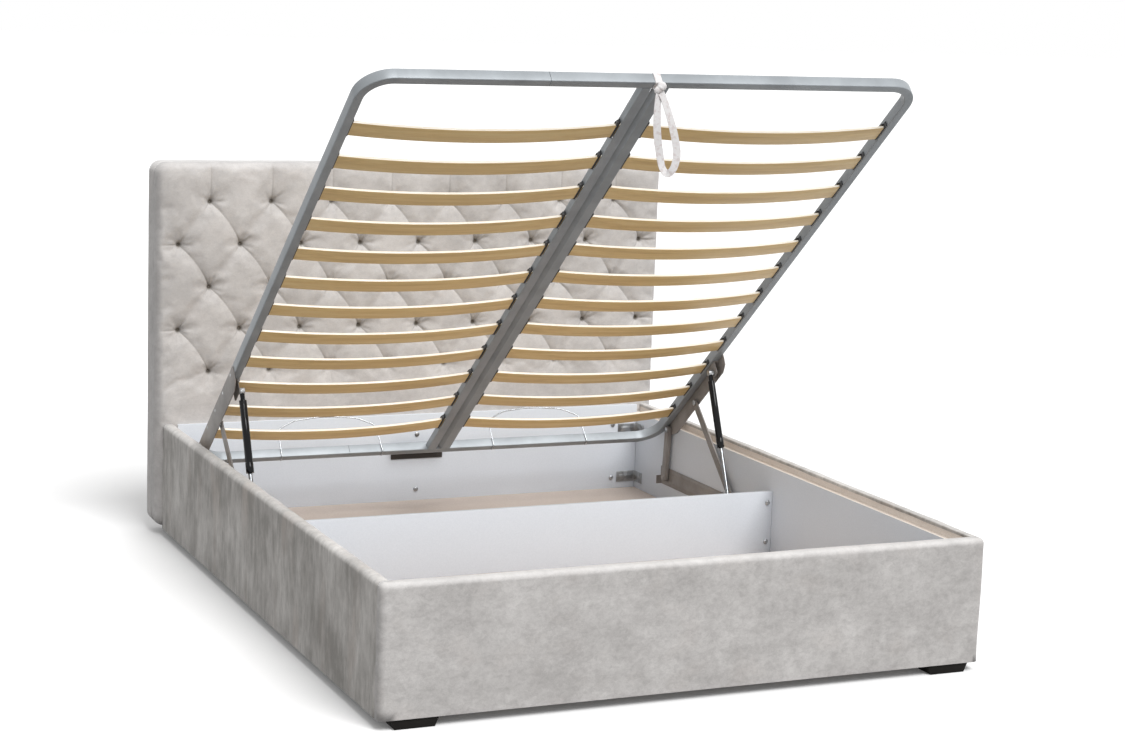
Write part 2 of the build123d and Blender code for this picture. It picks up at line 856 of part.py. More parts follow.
def rear_link():
    """Pressed channel with a closed web towards the middle of the bed, and the bolt of its lower pivot."""
    link = strip(rear_link_x, rear_base, rear_top, rear_link_width, rear_link_depth)
    hollow = strip(
        rear_link_x + rear_link_sheet, rear_base, rear_top, rear_link_width - 2 * rear_link_sheet, rear_link_depth
    )
    link -= hollow
    link -= rod_x(pin_radius + pin_clearance, rear_link_x - overrun, inner_x, rear_top.X, rear_top.Y)
    bolt_end = inner_x - base_sheet - pin_head_gap
    bolt = rod_x(pin_radius, rear_link_x - pin_head_height, bolt_end, rear_base.X, rear_base.Y)
    bolt += sided_rod_x(
        bolt_sides, pin_head_radius, rear_link_x - pin_head_height, rear_link_x, rear_base.X, rear_base.Y
    )
    return link + bolt


def front_link():
    """Flat bar that carries the frame, broad along its run."""
    link = strip(front_link_x, front_base, front_top, front_link_end_width, front_link_thickness)
    length = (front_top - front_base).length
    half_end = front_link_end_width / 2
    half = front_link_width / 2
    broad = [
        (half_end, -half_end),
        (front_link_width, -half),
        (length - front_link_width, -half),
        (length - half_end, -half_end),
        (length - half_end, half_end),
        (length - front_link_width, half),
        (front_link_width, half),
        (half_end, half_end),
    ]
    link += prism(along(front_link_x, front_base, front_top), broad, front_link_thickness)
    for place in (front_base, front_top):
        link -= rod_x(pin_radius + pin_clearance, front_link_x - overrun, inner_x, place.X, place.Y)
    return link


strut_line = along(strut_x, strut_top, front_base)
strut_axis = Plane(origin=(strut_x, strut_top.X, strut_top.Y), z_dir=strut_line.x_dir, x_dir=(1, 0, 0))


def strut_bar(radius, start, end):
    """Round bar on the strut's line, between two distances from its upper pivot."""
    bar = Cylinder(radius, end - start, align=(Align.CENTER, Align.CENTER, Align.MIN))
    return strut_axis.location * Pos(0, 0, start) * bar


def sided_strut_bar(radius, start, end):
    """Many-sided bar on the strut's line whose sides touch a circle of the given radius."""
    sides = RegularPolygon(radius, hidden_sides, major_radius=False)
    return strut_axis.location * Pos(0, 0, start) * extrude(sides, amount=end - start)


def strut_eye(place):
    """Round eye across the strut's end."""
    return rod_x(
        strut_eye_radius, strut_x - strut_eye_half_width, strut_x + strut_eye_half_width, place.X, place.Y
    )


def strut_cylinder():
    """Pressure tube with its end fitting, and the collar that guides the rod."""
    collar_start = strut_body_end - strut_collar_length
    tube = strut_bar(strut_body_radius, strut_body_start, collar_start)
    tube -= sided_strut_bar(strut_body_radius - strut_wall, strut_body_start + strut_cap, collar_start + overrun)
    tube += sided_strut_bar(strut_neck_radius, 0, strut_body_start) + strut_eye(strut_top)
    bore_half = strut_eye_half_width + overrun
    tube -= sided_rod_x(
        hidden_sides, pin_radius + pin_clearance, strut_x - bore_half, strut_x + bore_half, strut_top.X, strut_top.Y
    )
    collar = strut_bar(strut_collar_radius, collar_start, strut_body_end)
    collar -= sided_strut_bar(strut_rod_radius + pin_clearance, collar_start - overrun, strut_body_end + overrun)
    return [tube, collar]


def strut_rod():
    """Polished rod with its end fitting and the stud that it turns on."""
    rod = strut_bar(strut_rod_radius, strut_body_end - strut_rod_engaged, strut_open_length)
    sleeve_start = strut_open_length - strut_sleeve_length / 2
    rod += sided_strut_bar(strut_neck_radius, sleeve_start, strut_open_length) + strut_eye(front_base)
    stud_end = front_link_x - pin_head_gap - pin_head_height - pin_head_gap
    flange = stud_end - stud_flange_height
    rod += rod_x(pin_radius, strut_x, stud_end, front_base.X, front_base.Y)
    rod += sided_rod_x(bolt_sides, stud_flange_radius, flange, stud_end, front_base.X, front_base.Y)
    return rod


moving = {
    "rear_link": [rear_link()],
    "front_link": [front_link()],
    "strut_cylinder": strut_cylinder(),
    "strut_rod": [strut_rod()],
}
for name, solids in moving.items():
    keep_pair(name, *solids)


# Mechanism pieces on the box
def base_plate():
    """Plate on the liner that carries the lower pivots, with its rear end folded inwards."""
    rear_y = rear_base.X + base_rear_reach
    front_end = front_base.X - base_front_reach
    top = base_bottom + base_height
    points = [(front_end, base_bottom), (rear_y, base_bottom), (rear_y, top), (front_end, top)]
    plate = prism(across(inner_x - base_sheet), points, base_sheet, base_round)
    flange_x = inner_x - base_flange_reach
    plate += block(
        flange_x, inner_x - base_sheet, rear_y - base_round - base_sheet, rear_y - base_round,
        base_bottom, base_bottom + base_flange_height,
    )
    face_x = inner_x - base_sheet
    for z in (base_bottom + base_rivet_edge, top - base_rivet_edge):
        for y in (rear_y - base_rivet_inset, front_end + base_rivet_edge):
            plate += sided_rod_x(rivet_sides, base_rivet_radius, face_x - base_rivet_height, face_x, y, z)
    return plate


def base_pivot():
    """Bolt of the front link's lower pivot, with the boss that holds the link off the plate."""
    head = front_link_x - pin_head_gap
    face = inner_x - base_sheet
    link_back = front_link_x + front_link_thickness + pin_head_gap
    bolt = rod_x(pin_radius, head, face, front_base.X, front_base.Y)
    bolt += sided_rod_x(bolt_sides, pin_head_radius, head - pin_head_height, head, front_base.X, front_base.Y)
    return bolt + rod_x(pin_head_radius, link_back, face, front_base.X, front_base.Y)


keep_pair("base_plate", base_plate())
keep("base_pivots", *both_sides(base_pivot()))


# Wire mattress stops
def mattress_stop():
    """Wire hoop in front of the head-end rail, with both ends tucked under the rail."""
    radius = stop_wire / 2
    n0 = -radius - stop_gap
    v = -tube_width - radius - stop_gap
    span = stop_half_span
    foot_x0 = stop_centre_x - span
    foot_x1 = stop_centre_x + span
    shoulder_x = span - stop_shoulder
    path = FilletPolyline(
        (foot_x0, v + stop_tuck, n0),
        (foot_x0, v, n0),
        (foot_x0 + stop_lean, v, stop_height - stop_shoulder / 2),
        (stop_centre_x - shoulder_x, v, stop_height - radius),
        (stop_centre_x + shoulder_x, v, stop_height - radius),
        (foot_x1 - stop_lean, v, stop_height - stop_shoulder / 2),
        (foot_x1, v, n0),
        (foot_x1, v + stop_tuck, n0),
        radius=[stop_bend / 2, stop_shoulder / 2, stop_shoulder, stop_shoulder, stop_shoulder / 2, stop_bend / 2],
    )
    start = Plane(origin=path @ 0, z_dir=path % 0)
    return sweep(start * RegularPolygon(radius, wire_sides), path=path)


keep_pair("mattress_stop", frame_place * mattress_stop())


# Pull strap
def pull_strap():
    """Tape round the foot-end rail with its knot and the hanging loop."""
    half = strap_width / 2
    gap = strap_gap
    foot_u = frame_length
    inside = frame_block(-half, half, foot_u - tube_width - gap, foot_u + gap, -gap, tube_height + gap)
    reach = gap + strap_thickness
    ring = frame_block(-half, half, foot_u - tube_width - reach, foot_u + reach, -reach, tube_height + reach)
    ring = frame_place * (ring - inside)
    corner = open_point(foot_u, 0)
    y = corner.X - strap_front_gap
    top_z = corner.Y
    knot_low = top_z - strap_knot_height
    half_depth = strap_knot_depth / 2
    knot = block(
        -strap_knot_width / 2, strap_knot_width / 2, y - half_depth, corner.X - 2 * gap, knot_low, top_z,
    )
    low = knot_low - strap_drop
    span = strap_half_span
    centre = strap_offset_x
    plane = Plane(origin=(0, y + strap_thickness / 2, 0), x_dir=(1, 0, 0), z_dir=(0, -1, 0))
    outer = [
        (-strap_throat, knot_low),
        (centre - span, low + span * 2),
        (centre - span, low),
        (centre + span, low),
        (centre + span, low + span * 2),
        (strap_throat, knot_low),
    ]
    wide = outline(outer, [0, span * 2, span - strap_gap, span - strap_gap, span * 2, 0])
    t = strap_width
    throat_z = knot_low - 2 * strap_throat
    slim = span - t
    hole = [
        (0, throat_z),
        (centre - slim, low + span * 2),
        (centre - slim, low + t),
        (centre + slim, low + t),
        (centre + slim, low + span * 2),
    ]
    narrow = outline(hole, [0, span, slim - strap_gap, slim - strap_gap, span])
    loop = extrude(plane * (wide - narrow), amount=strap_thickness, dir=(0, -1, 0))
    return ring + knot + loop


keep("pull_strap", pull_strap())


# Brackets, bolts and the frame rest
def corner_bracket(z):
    """Angle between the rear panel and the liner."""
    z0 = z - bracket_height / 2
    z1 = z + bracket_height / 2
    panel_leg = block(inner_x - bracket_panel_leg, inner_x, panel_y - bracket_sheet, panel_y, z0, z1)
    return panel_leg + block(
        inner_x - bracket_sheet, inner_x, panel_y - bracket_liner_leg, panel_y, z0, z1
    )


def divider_bracket(z):
    """Small angle behind the divider."""
    back = divider_y + divider_thickness
    z0 = z - bracket_height / 2
    z1 = z + bracket_height / 2
    leg = divider_bracket_leg
    angle = block(inner_x - leg, inner_x, back, back + bracket_sheet, z0, z1)
    return angle + block(inner_x - bracket_sheet, inner_x, back, back + leg, z0, z1)


def bolt_head(x, y, z):
    """Domed head on a panel face that looks towards the foot end."""
    plane = Plane(origin=(x, y, z), x_dir=(1, 0, 0), z_dir=(0, -1, 0))
    return crowned_head(bolt_radius, bolt_height, plane)


brackets = []
for z in (bracket_upper_z, bracket_lower_z):
    brackets += both_sides(corner_bracket(z))
for z in (divider_bolt_upper_z, divider_bolt_lower_z):
    brackets += both_sides(divider_bracket(z))
keep("box_brackets", *brackets)
bolts = []
for z in (panel_bolt_upper_z, panel_bolt_lower_z):
    for x in (-panel_bolt_x, 0, panel_bolt_x):
        bolts.append(bolt_head(x, panel_y, z))
for z in (divider_bolt_upper_z, divider_bolt_lower_z):
    bolts += both_sides(bolt_head(inner_x - divider_bolt_inset, divider_y, z))
keep("box_bolts", *bolts)
rest_top = closed_z - rest_gap
rest_x = rest_width / 2
keep(
    "frame_rest",
    block(-rest_x, rest_x, panel_y - rest_sheet, panel_y, rest_top - rest_drop, rest_top)
    + block(-rest_x, rest_x, panel_y - rest_reach, panel_y, rest_top - rest_sheet, rest_top),
)

os.makedirs("parts", exist_ok=True)
for name, shape in pieces.items():
    export_step(shape, "parts/" + name + ".step")

# Joint places and travels, for whoever poses the bed
front_open = bearing(front_base, front_top)
front_closed = bearing(front_base, closed_point(front_pivot_u, front_pivot_n))
rear_open = bearing(rear_base, rear_top)
rear_closed = bearing(rear_base, closed_point(rear_pivot_u, rear_pivot_n))
strut_open = bearing(strut_top, front_base)
strut_closed = bearing(strut_top_closed, front_base)
print("sub-parts", len(pieces))
print("front link: base", front_base, "top", front_top, "turn", front_open, front_closed)
print("rear link: base", rear_base, "top", rear_top, "turn", rear_open, rear_closed)
print("strut: top", strut_top, "turn", strut_open, strut_closed)
print("strut length open and closed", strut_open_length, strut_closed_length, "direction", strut_line.x_dir)
print("frame angle", frame_lift_angle, "head corner open", open_y, closed_z, "length", frame_length)
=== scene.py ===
# %% [markdown]
# # A storage bed that opens, dressed around its construction model
# The construction model gives every part its place, its size and the way it moves. This lesson keeps those
# places and adds what the eye judges: brushed velvet with sewn tufts, lacquered beech, painted tube and
# zinc. Every length is in metres and every part is modelled where it stays, so no object is moved
# afterwards.

# %% Load the construction model
import math

import bmesh
import bpy
import numpy as np
from mathutils import Matrix, Vector, noise


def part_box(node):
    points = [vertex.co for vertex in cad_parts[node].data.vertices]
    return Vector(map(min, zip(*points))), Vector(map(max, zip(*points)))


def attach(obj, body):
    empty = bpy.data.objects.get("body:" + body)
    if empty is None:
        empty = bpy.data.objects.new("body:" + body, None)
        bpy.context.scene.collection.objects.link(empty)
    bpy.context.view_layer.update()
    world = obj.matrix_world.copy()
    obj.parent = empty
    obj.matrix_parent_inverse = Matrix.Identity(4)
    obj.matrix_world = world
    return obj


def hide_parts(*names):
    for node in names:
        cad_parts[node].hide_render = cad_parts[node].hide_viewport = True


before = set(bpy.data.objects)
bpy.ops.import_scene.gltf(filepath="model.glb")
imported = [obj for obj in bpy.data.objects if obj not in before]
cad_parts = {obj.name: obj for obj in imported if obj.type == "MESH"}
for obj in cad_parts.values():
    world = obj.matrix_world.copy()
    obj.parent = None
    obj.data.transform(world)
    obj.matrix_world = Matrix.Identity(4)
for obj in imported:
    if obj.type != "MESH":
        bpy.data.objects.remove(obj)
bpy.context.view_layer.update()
mm = 0.001
print("nodes", len(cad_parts))

# %% [markdown]
# ## Camera
# The bed is seen from in front of its foot end, a little from the left, with the camera slightly tilted. A
# camera can be aimed with a constraint, but three angles and a place say the same thing without a second
# object. The angles give the camera's own axes, and one matrix puts them in place.

# %% Camera
camera_place = Vector((-2.6545, -6.0802, 1.7647))
camera_yaw = math.radians(24.299)
camera_pitch = math.radians(-9.503)
camera_roll = math.radians(2.06)
camera_lens = 74.03
camera_sensor = 36.0

ahead = Vector((math.sin(camera_yaw), math.cos(camera_yaw), 0)) * math.cos(camera_pitch)
ahead.z = math.sin(camera_pitch)
level_right = Vector((math.cos(camera_yaw), -math.sin(camera_yaw), 0))
level_up = level_right.cross(ahead)
right = level_right * math.cos(camera_roll) + level_up * math.sin(camera_roll)
up = level_up * math.cos(camera_roll) - level_right * math.sin(camera_roll)
camera_data = bpy.data.cameras.new("camera")
camera_data.lens = camera_lens
camera_data.sensor_width = camera_sensor
camera = bpy.data.objects.new("camera", camera_data)
bpy.context.scene.collection.objects.link(camera)
camera.matrix_world = Matrix(
    (
        (right.x, up.x, -ahead.x, camera_place.x),
        (right.y, up.y, -ahead.y, camera_place.y),
        (right.z, up.z, -ahead.z, camera_place.z),
        (0, 0, 0, 1),
    )
)
bpy.context.scene.camera = camera
print("camera looks along", [round(value, 3) for value in ahead])

# %% [markdown]
# ## Nodes in a few words
# A material is a small graph. Adding nodes one by one makes long scripts, so one helper adds a node, sets
# or links its inputs by name and hands back its output. Others cover the colour ramp, the colour mix and a
# sum.


# %% Nodes, ramps and mixes
def set_or_link(tree, socket, value):
    """Links another node's output into a socket, or writes a plain value there."""
    if isinstance(value, bpy.types.NodeSocket):
        tree.links.new(value, socket)
    else:
        socket.default_value = value


def add(tree, kind, settings=None, output=0, **inputs):
    """Adds one shader node and returns one of its outputs. Underscores in input names stand for spaces."""
    made = tree.nodes.new("ShaderNode" + kind)
    for key, value in (settings or {}).items():
        setattr(made, key, value)
    for key, value in inputs.items():
        set_or_link(tree, made.inputs[key.replace("_", " ")], value)
    return made.outputs[output]


def combine(tree, operation, first, second):
    """One sum of two outputs, such as MAXIMUM or MULTIPLY."""
    made = tree.nodes.new("ShaderNodeMath")
    made.operation = operation
    tree.links.new(first, made.inputs[0])
    tree.links.new(second, made.inputs[1])
    return made.outputs[0]


def ramp(tree, value, *stops):
    """Colour ramp through (place, colour) stops."""
    made = tree.nodes.new("ShaderNodeValToRGB")
    tree.links.new(value, made.inputs[0])
    elements = made.color_ramp.elements
    while len(elements) < len(stops):
        elements.new(0.5)
    for element, (place, colour) in zip(elements, stops):
        element.position = place
        element.color = (*colour, 1)
    return made.outputs[0]


def grey(level):
    """A colour without a hue."""
    return (level, level, level)


def mix(tree, factor, first, second, blend="MIX"):
    """Mixes two colours, each an output or a plain colour."""
    made = tree.nodes.new("ShaderNodeMix")
    made.data_type = "RGBA"
    made.blend_type = blend
    set_or_link(tree, made.inputs[0], factor)
    for socket, colour in ((made.inputs[6], first), (made.inputs[7], second)):
        set_or_link(tree, socket, (*colour, 1) if isinstance(colour, tuple) else colour)
    return made.outputs[2]


def darkened(tree, share, tone, pattern, low, high, darkest):
    """Darkens a tone by a share, fully where a pattern is below low and not at all above high."""
    return mix(tree, share, tone, ramp(tree, pattern, (low, darkest), (high, grey(1.0))), "MULTIPLY")


print("node helpers ready")

# %% [markdown]
# Every finish starts from the same shader and reads the piece's own coordinates in metres, so a pattern
# keeps its real size on a long rail and on a small button. A picture laid over a piece would need seams,
# and a size of its own on each.


# %% New material, noise and bump
def new_material(name, roughness, metallic=0.0, coat=0.0, sheen=0.0):
    """A material with its principled shader, and the object coordinates that its patterns read."""
    material = bpy.data.materials.new(name)
    material.use_nodes = True
    tree = material.node_tree
    shader = tree.nodes["Principled BSDF"]
    shader.inputs["Roughness"].default_value = roughness
    shader.inputs["Metallic"].default_value = metallic
    shader.inputs["Coat Weight"].default_value = coat
    shader.inputs["Sheen Weight"].default_value = sheen
    return material, tree, shader, add(tree, "TexCoord", output=3)


def cloud(tree, place, scale, detail=4.0, roughness=0.55, stretch=(1, 1, 1), distortion=0.0):
    """Cloudy noise in real size, with a stretch per axis."""
    placed = add(tree, "Mapping", Vector=place, Scale=stretch)
    return add(
        tree, "TexNoise", Vector=placed, Scale=scale, Detail=detail, Roughness=roughness,
        Distortion=distortion,
    )


def bump(tree, shader, height, distance, strength=1.0, below=None):
    """Feeds a height into the shader's normal, on top of an earlier bump if there is one."""
    made = tree.nodes.new("ShaderNodeBump")
    made.inputs["Strength"].default_value = strength
    made.inputs["Distance"].default_value = distance
    tree.links.new(height, made.inputs["Height"])
    if below is not None:
        tree.links.new(below, made.inputs["Normal"])
    tree.links.new(made.outputs[0], shader.inputs["Normal"])
    return made.outputs[0]


print("material helpers ready")

# %% [markdown]
# ## Studio
# The photograph has a white ground with a narrow shadow, and light from above and the front right that
# leaves the left side in shade. An area lamp close by would light the floor unevenly, so the key is a wide
# sun and an even world gives the rest. Camera, glossy and transmission rays see the world as pure white.

# %% Sky
world_level = 0.60


def clean_rays(tree):
    """1 for the rays that see a clean white studio: from the camera, off gloss and through glass."""
    rays = tree.nodes.new("ShaderNodeLightPath").outputs
    either = combine(tree, "MAXIMUM", rays["Is Camera Ray"], rays["Is Glossy Ray"])
    return combine(tree, "MAXIMUM", either, rays["Is Transmission Ray"])


scene = bpy.context.scene
scene.view_settings.view_transform = "Standard"
world = bpy.data.worlds.new("studio")
world.use_nodes = True
scene.world = world
tree = world.node_tree
level = mix(tree, clean_rays(tree), grey(world_level), grey(1.0))
tree.links.new(level, tree.nodes["Background"].inputs["Color"])
print("world level", world_level)

# %% Key light
sun_towards = Vector((0.12, -0.49, 0.66))
sun_width = math.radians(35)

sun_data = bpy.data.lights.new("key", "SUN")
sun_data.energy = sun_towards.length * math.pi
sun_data.angle = sun_width
sun = bpy.data.objects.new("key", sun_data)
scene.collection.objects.link(sun)
sun.rotation_euler = sun_towards.to_track_quat("Z", "Y").to_euler()
print("sun", round(sun_data.energy, 2))

# %% [markdown]
# The floor is white paper to the camera and a middle grey to all rays that carry light, so that it keeps
# its shadow but doesn't light the bed from below.

# %% Floor
floor_reach = 60.0
floor_seen = 0.95
floor_bounce = 0.24
floor_lift = 0.06

paper, tree, shader, _ = new_material("studio_paper", 0.9)
shader.inputs["Specular IOR Level"].default_value = 0.0
shader.inputs["Emission Strength"].default_value = 1.0
seen = clean_rays(tree)
sheet = mix(tree, seen, grey(floor_bounce), grey(floor_seen))
tree.links.new(sheet, shader.inputs["Base Color"])
glow = mix(tree, seen, grey(0.0), grey(floor_lift))
tree.links.new(glow, shader.inputs["Emission Color"])
bm = bmesh.new()
bmesh.ops.create_grid(bm, x_segments=1, y_segments=1, size=floor_reach)
floor_mesh = bpy.data.meshes.new("studio_floor")
bm.to_mesh(floor_mesh)
bm.free()
floor_mesh.materials.append(paper)
floor = bpy.data.objects.new("studio_floor", floor_mesh)
scene.collection.objects.link(floor)
print("floor seen as", floor_seen, "lights as", floor_bounce)

# %% [markdown]
# ## Velvet
# Brushed velvet is one colour whose pile lies in many directions, so it shows soft light and dark clouds a
# hand wide, finer marks where it was stroked, and a pale sheen at grazing angles. A picture of cloth would
# show its seams, so noises of real sizes are mixed instead: two make the clouds, one tints some strokes,
# one is the pile and one its fine scuffs. Each piece then says for itself where painted shade darkens its
# folds and where painted light makes what faces up paler.

# %% Velvet
# Painted shade darkens folds towards the first tone; painted light turns faces that look up towards the
# second.
painted_shade_tone = (0.10, 0.085, 0.065)
painted_top_light_tone = (0.86, 0.85, 0.84)


def velvet(name, dark, light, warm, brushed=(0.7, 0.7, 1.0), tint_most=0.3, scuffed=0.42):
    """Brushed velvet between two tones, warmer in some strokes, with painted shade in folds and painted
    light where it faces up.
    """
    material, tree, shader, place = new_material(name, 0.86, sheen=0.42)
    shader.inputs["Sheen Roughness"].default_value = 0.4
    shader.inputs["Specular IOR Level"].default_value = 0.15
    broad = cloud(tree, place, 4.5, 8.0, 0.60)
    strokes = cloud(tree, place, 30.0, 6.0, 0.66, brushed, 0.15)
    pile = cloud(tree, place, 420.0, 2.0, 0.6)
    both = mix(tree, 0.45, broad, strokes)
    middle = tuple((a + b) / 2 for a, b in zip(dark, light))
    tone = ramp(tree, both, (0.40, dark), (0.51, middle), (0.62, light))
    warmth = cloud(tree, place, 9.0, 3.0, 0.5, brushed)
    tone = mix(tree, ramp(tree, warmth, (0.54, grey(0.0)), (0.70, grey(tint_most))), tone, warm)
    tone = darkened(tree, 0.25, tone, pile, 0.3, 0.7, grey(0.60))
    scuff = cloud(tree, place, 85.0, 6.0, 0.75, brushed, 0.6)
    tone = darkened(tree, scuffed, tone, scuff, 0.38, 0.56, grey(0.70))
    # Painted light from the piece's own share on what faces up, then painted shade from its share in folds.
    for share, colour in (("rubbed", painted_top_light_tone), ("fold", painted_shade_tone)):
        tone = mix(tree, add(tree, "Attribute", {"attribute_name": share}, output=2), tone, colour)
    tree.links.new(tone, shader.inputs["Base Color"])
    soft = bump(tree, shader, strokes, 0.8 * mm, 0.4)
    bump(tree, shader, pile, 0.35 * mm, 0.6, soft)
    return material


velvet_front = velvet("velvet", (0.49, 0.471, 0.459), (0.66, 0.639, 0.624), (0.56, 0.52, 0.495))
# The rails' sides take a copy with a darker dark tone, painted shade for sides the light misses, and
# strokes that run up and down.
velvet_side = velvet(
    "velvet_side", (0.33, 0.310, 0.286), (0.74, 0.712, 0.680), (0.50, 0.43, 0.38), (1.0, 1.0, 0.28), 0.55
)
# The headboard's copy is a little lighter, painted light for the headboard, and less scuffed.
velvet_headboard = velvet(
    "velvet_headboard", (0.52, 0.500, 0.488), (0.675, 0.652, 0.638), (0.60, 0.56, 0.535), scuffed=0.2
)
print("velvet ready")

# %% [markdown]
# ## Wood and boards
# The slats are beech veneers glued flat and lacquered. Their broad faces show long, faint grain lines and
# their edges show the paler stack of layers. Grain is noise pulled out along the slat, and because it
# reads the place in the bed, no two slats look alike.


# %% Beech
def beech():
    """Lacquered beech, with its grain along x."""
    material, tree, shader, place = new_material("beech", 0.42, coat=0.25)
    shader.inputs["Coat Roughness"].default_value = 0.25
    grain = cloud(tree, place, 55.0, 6.0, 0.62, (0.035, 1.0, 1.0), 0.3)
    fine = cloud(tree, place, 420.0, 3.0, 0.6, (0.03, 1.0, 1.0))
    patch = cloud(tree, place, 3.5, 2.0, 0.5, (0.7, 1.6, 1.6))
    brown, honey, cream = (0.73, 0.50, 0.21), (0.89, 0.64, 0.285), (0.95, 0.73, 0.365)
    tone = ramp(tree, grain, (0.30, brown), (0.52, honey), (0.72, cream))
    tone = darkened(tree, 0.30, tone, patch, 0.35, 0.65, (0.78, 0.72, 0.62))
    tone = darkened(tree, 0.25, tone, fine, 0.35, 0.65, grey(0.70))
    tree.links.new(tone, shader.inputs["Base Color"])
    bump(tree, shader, fine, 0.12 * mm, 0.5)
    return material


def beech_edge():
    """Cut edge of the laminated slat: thin pale layers."""
    material, tree, shader, place = new_material("beech_edge", 0.5, coat=0.15)
    grain = cloud(tree, place, 300.0, 3.0, 0.6, (0.03, 1.0, 1.0))
    tone = ramp(tree, grain, (0.35, (0.84, 0.75, 0.62)), (0.65, (0.95, 0.90, 0.80)))
    tree.links.new(tone, shader.inputs["Base Color"])
    bump(tree, shader, grain, 0.15 * mm, 0.5)
    return material


beech_face = beech()
beech_side = beech_edge()
print("beech ready")

# %% [markdown]
# The boards of the box are chipboard with a white facing, with raw beige edges, and their bottom is bare
# fibreboard. All of them are flecks of one size between two tones, so one function makes every board.


# %% Boards' finishes
def board(name, dark, light, roughness, scale, relief):
    """Board with flecks of one size between two tones."""
    material, tree, shader, place = new_material(name, roughness)
    fleck = cloud(tree, place, scale, 5.0, 0.65)
    broad = cloud(tree, place, 4.0, 2.0, 0.5)
    tone = ramp(tree, fleck, (0.32, dark), (0.68, light))
    tone = darkened(tree, 0.12, tone, broad, 0.35, 0.65, grey(0.86))
    tree.links.new(tone, shader.inputs["Base Color"])
    bump(tree, shader, fleck, relief, 0.6)
    return material


white_facing = board("white_board", (0.65, 0.685, 0.735), (0.695, 0.73, 0.78), 0.38, 260.0, 0.04 * mm)
raw_edge = board("raw_board", (0.72, 0.64, 0.57), (0.88, 0.81, 0.74), 0.85, 320.0, 0.25 * mm)
fibreboard = board("fibreboard", (0.57, 0.48, 0.415), (0.65, 0.56, 0.495), 0.75, 190.0, 0.10 * mm)
timber = board("timber", (0.50, 0.34, 0.18), (0.68, 0.50, 0.30), 0.7, 60.0, 0.20 * mm)
print("boards ready")

# %% [markdown]
# ## Metal and plastic
# Powder coat is a plain colour with a fine orange-peel skin. Zinc is a bright metal with cloudy crystals,
# and polished steel needs nothing but low roughness with the faintest marks. One function makes all coated
# surfaces and one makes all bare metals.

# %% Metal and plastic
peel_scale = 900.0
peel_relief = 0.05 * mm


def coated(name, colour, roughness, metallic=0.0, wear=0.10, shine=0.5):
    """Paint or moulded plastic with a fine skin and slight changes of tone."""
    material, tree, shader, place = new_material(name, roughness, metallic=metallic)
    shader.inputs["Specular IOR Level"].default_value = shine
    broad = cloud(tree, place, 9.0, 4.0, 0.6)
    skin = cloud(tree, place, peel_scale, 2.0, 0.5)
    low = tuple(value * (1 - wear) for value in colour)
    high = tuple(min(1.0, value * (1 + wear)) for value in colour)
    tree.links.new(ramp(tree, broad, (0.35, low), (0.65, high)), shader.inputs["Base Color"])
    bump(tree, shader, skin, peel_relief, 0.5)
    return material


def bare_metal(name, colour, roughness, spangle, contrast):
    """Plated or polished metal with soft crystals."""
    material, tree, shader, place = new_material(name, roughness, metallic=1.0)
    crystal = add(tree, "TexVoronoi", {"feature": "F1"}, output=1, Vector=place, Scale=spangle)
    shade = add(tree, "RGBToBW", Color=crystal)
    low = tuple(value * (1 - contrast) for value in colour)
    tree.links.new(ramp(tree, shade, (0.2, low), (0.8, colour)), shader.inputs["Base Color"])
    fine = cloud(tree, place, 240.0, 3.0, 0.6)
    rough = ramp(tree, fine, (0.3, grey(roughness * 0.8)), (0.7, grey(roughness * 1.3)))
    tree.links.new(rough, shader.inputs["Roughness"])
    bump(tree, shader, fine, 0.03 * mm, 0.4)
    return material


frame_paint = coated("frame_paint", (0.34, 0.365, 0.385), 0.36, metallic=0.2, shine=0.1)
link_paint = coated("link_paint", (0.27, 0.250, 0.235), 0.42, shine=0.25, wear=0.2)
dark_steel = coated("dark_steel", (0.05, 0.045, 0.042), 0.5, shine=0.2)
black_plastic = coated("black_plastic", (0.018, 0.018, 0.020), 0.42, wear=0.2)
foot_plastic = coated("foot_plastic", (0.010, 0.009, 0.008), 0.55, wear=0.2, shine=0.12)
strut_black = coated("strut_black", (0.003, 0.003, 0.004), 0.10, shine=0.25)
zinc = bare_metal("zinc", (0.54, 0.55, 0.56), 0.34, 60.0, 0.4)
chrome = bare_metal("rod_chrome", (0.27, 0.285, 0.30), 0.16, 20.0, 0.1)
bright_wire = bare_metal("wire_white", (0.46, 0.48, 0.50), 0.25, 60.0, 0.1)
print("metals ready")

# %% [markdown]
# ## The pull strap's tape
# Cotton tape is a plain weave: threads across over threads along. Two sets of waves at right angles,
# driven by the piece's own texture coordinates, follow the tape wherever it bends.

# %% Tape
thread_scale = 330.0


def tape_weave():
    """Cotton tape: a weave in the tape's own coordinates, with faint rose threads."""
    material, tree, shader, _ = new_material("tape", 0.85, sheen=0.2)
    flat = add(tree, "UVMap", {"uv_map": "UVMap"})
    across = add(tree, "TexWave", {"bands_direction": "X"}, output=1, Vector=flat, Scale=thread_scale)
    lengthwise = add(tree, "TexWave", {"bands_direction": "Y"}, output=1, Vector=flat, Scale=thread_scale)
    weave = combine(tree, "MULTIPLY", across, lengthwise)
    rose = cloud(tree, flat, 90.0, 2.0, 0.5)
    tone = ramp(tree, rose, (0.36, (0.74, 0.68, 0.67)), (0.50, (0.86, 0.84, 0.84)))
    tone = darkened(tree, 0.25, tone, weave, 0.0, 1.0, grey(0.75))
    tree.links.new(tone, shader.inputs["Base Color"])
    bump(tree, shader, weave, 0.25 * mm, 0.7)
    return material


tape = tape_weave()
print("tape ready")

# %% [markdown]
# ## From bmesh to a piece that rides on the bed
# Each new piece ends the same way: its mesh is written, shaded smooth except over sharp edges, hung on the
# body that it moves with, and it takes the place of the plain parts that it dresses.

# %% Keep a piece
sharp_angle = math.radians(32)


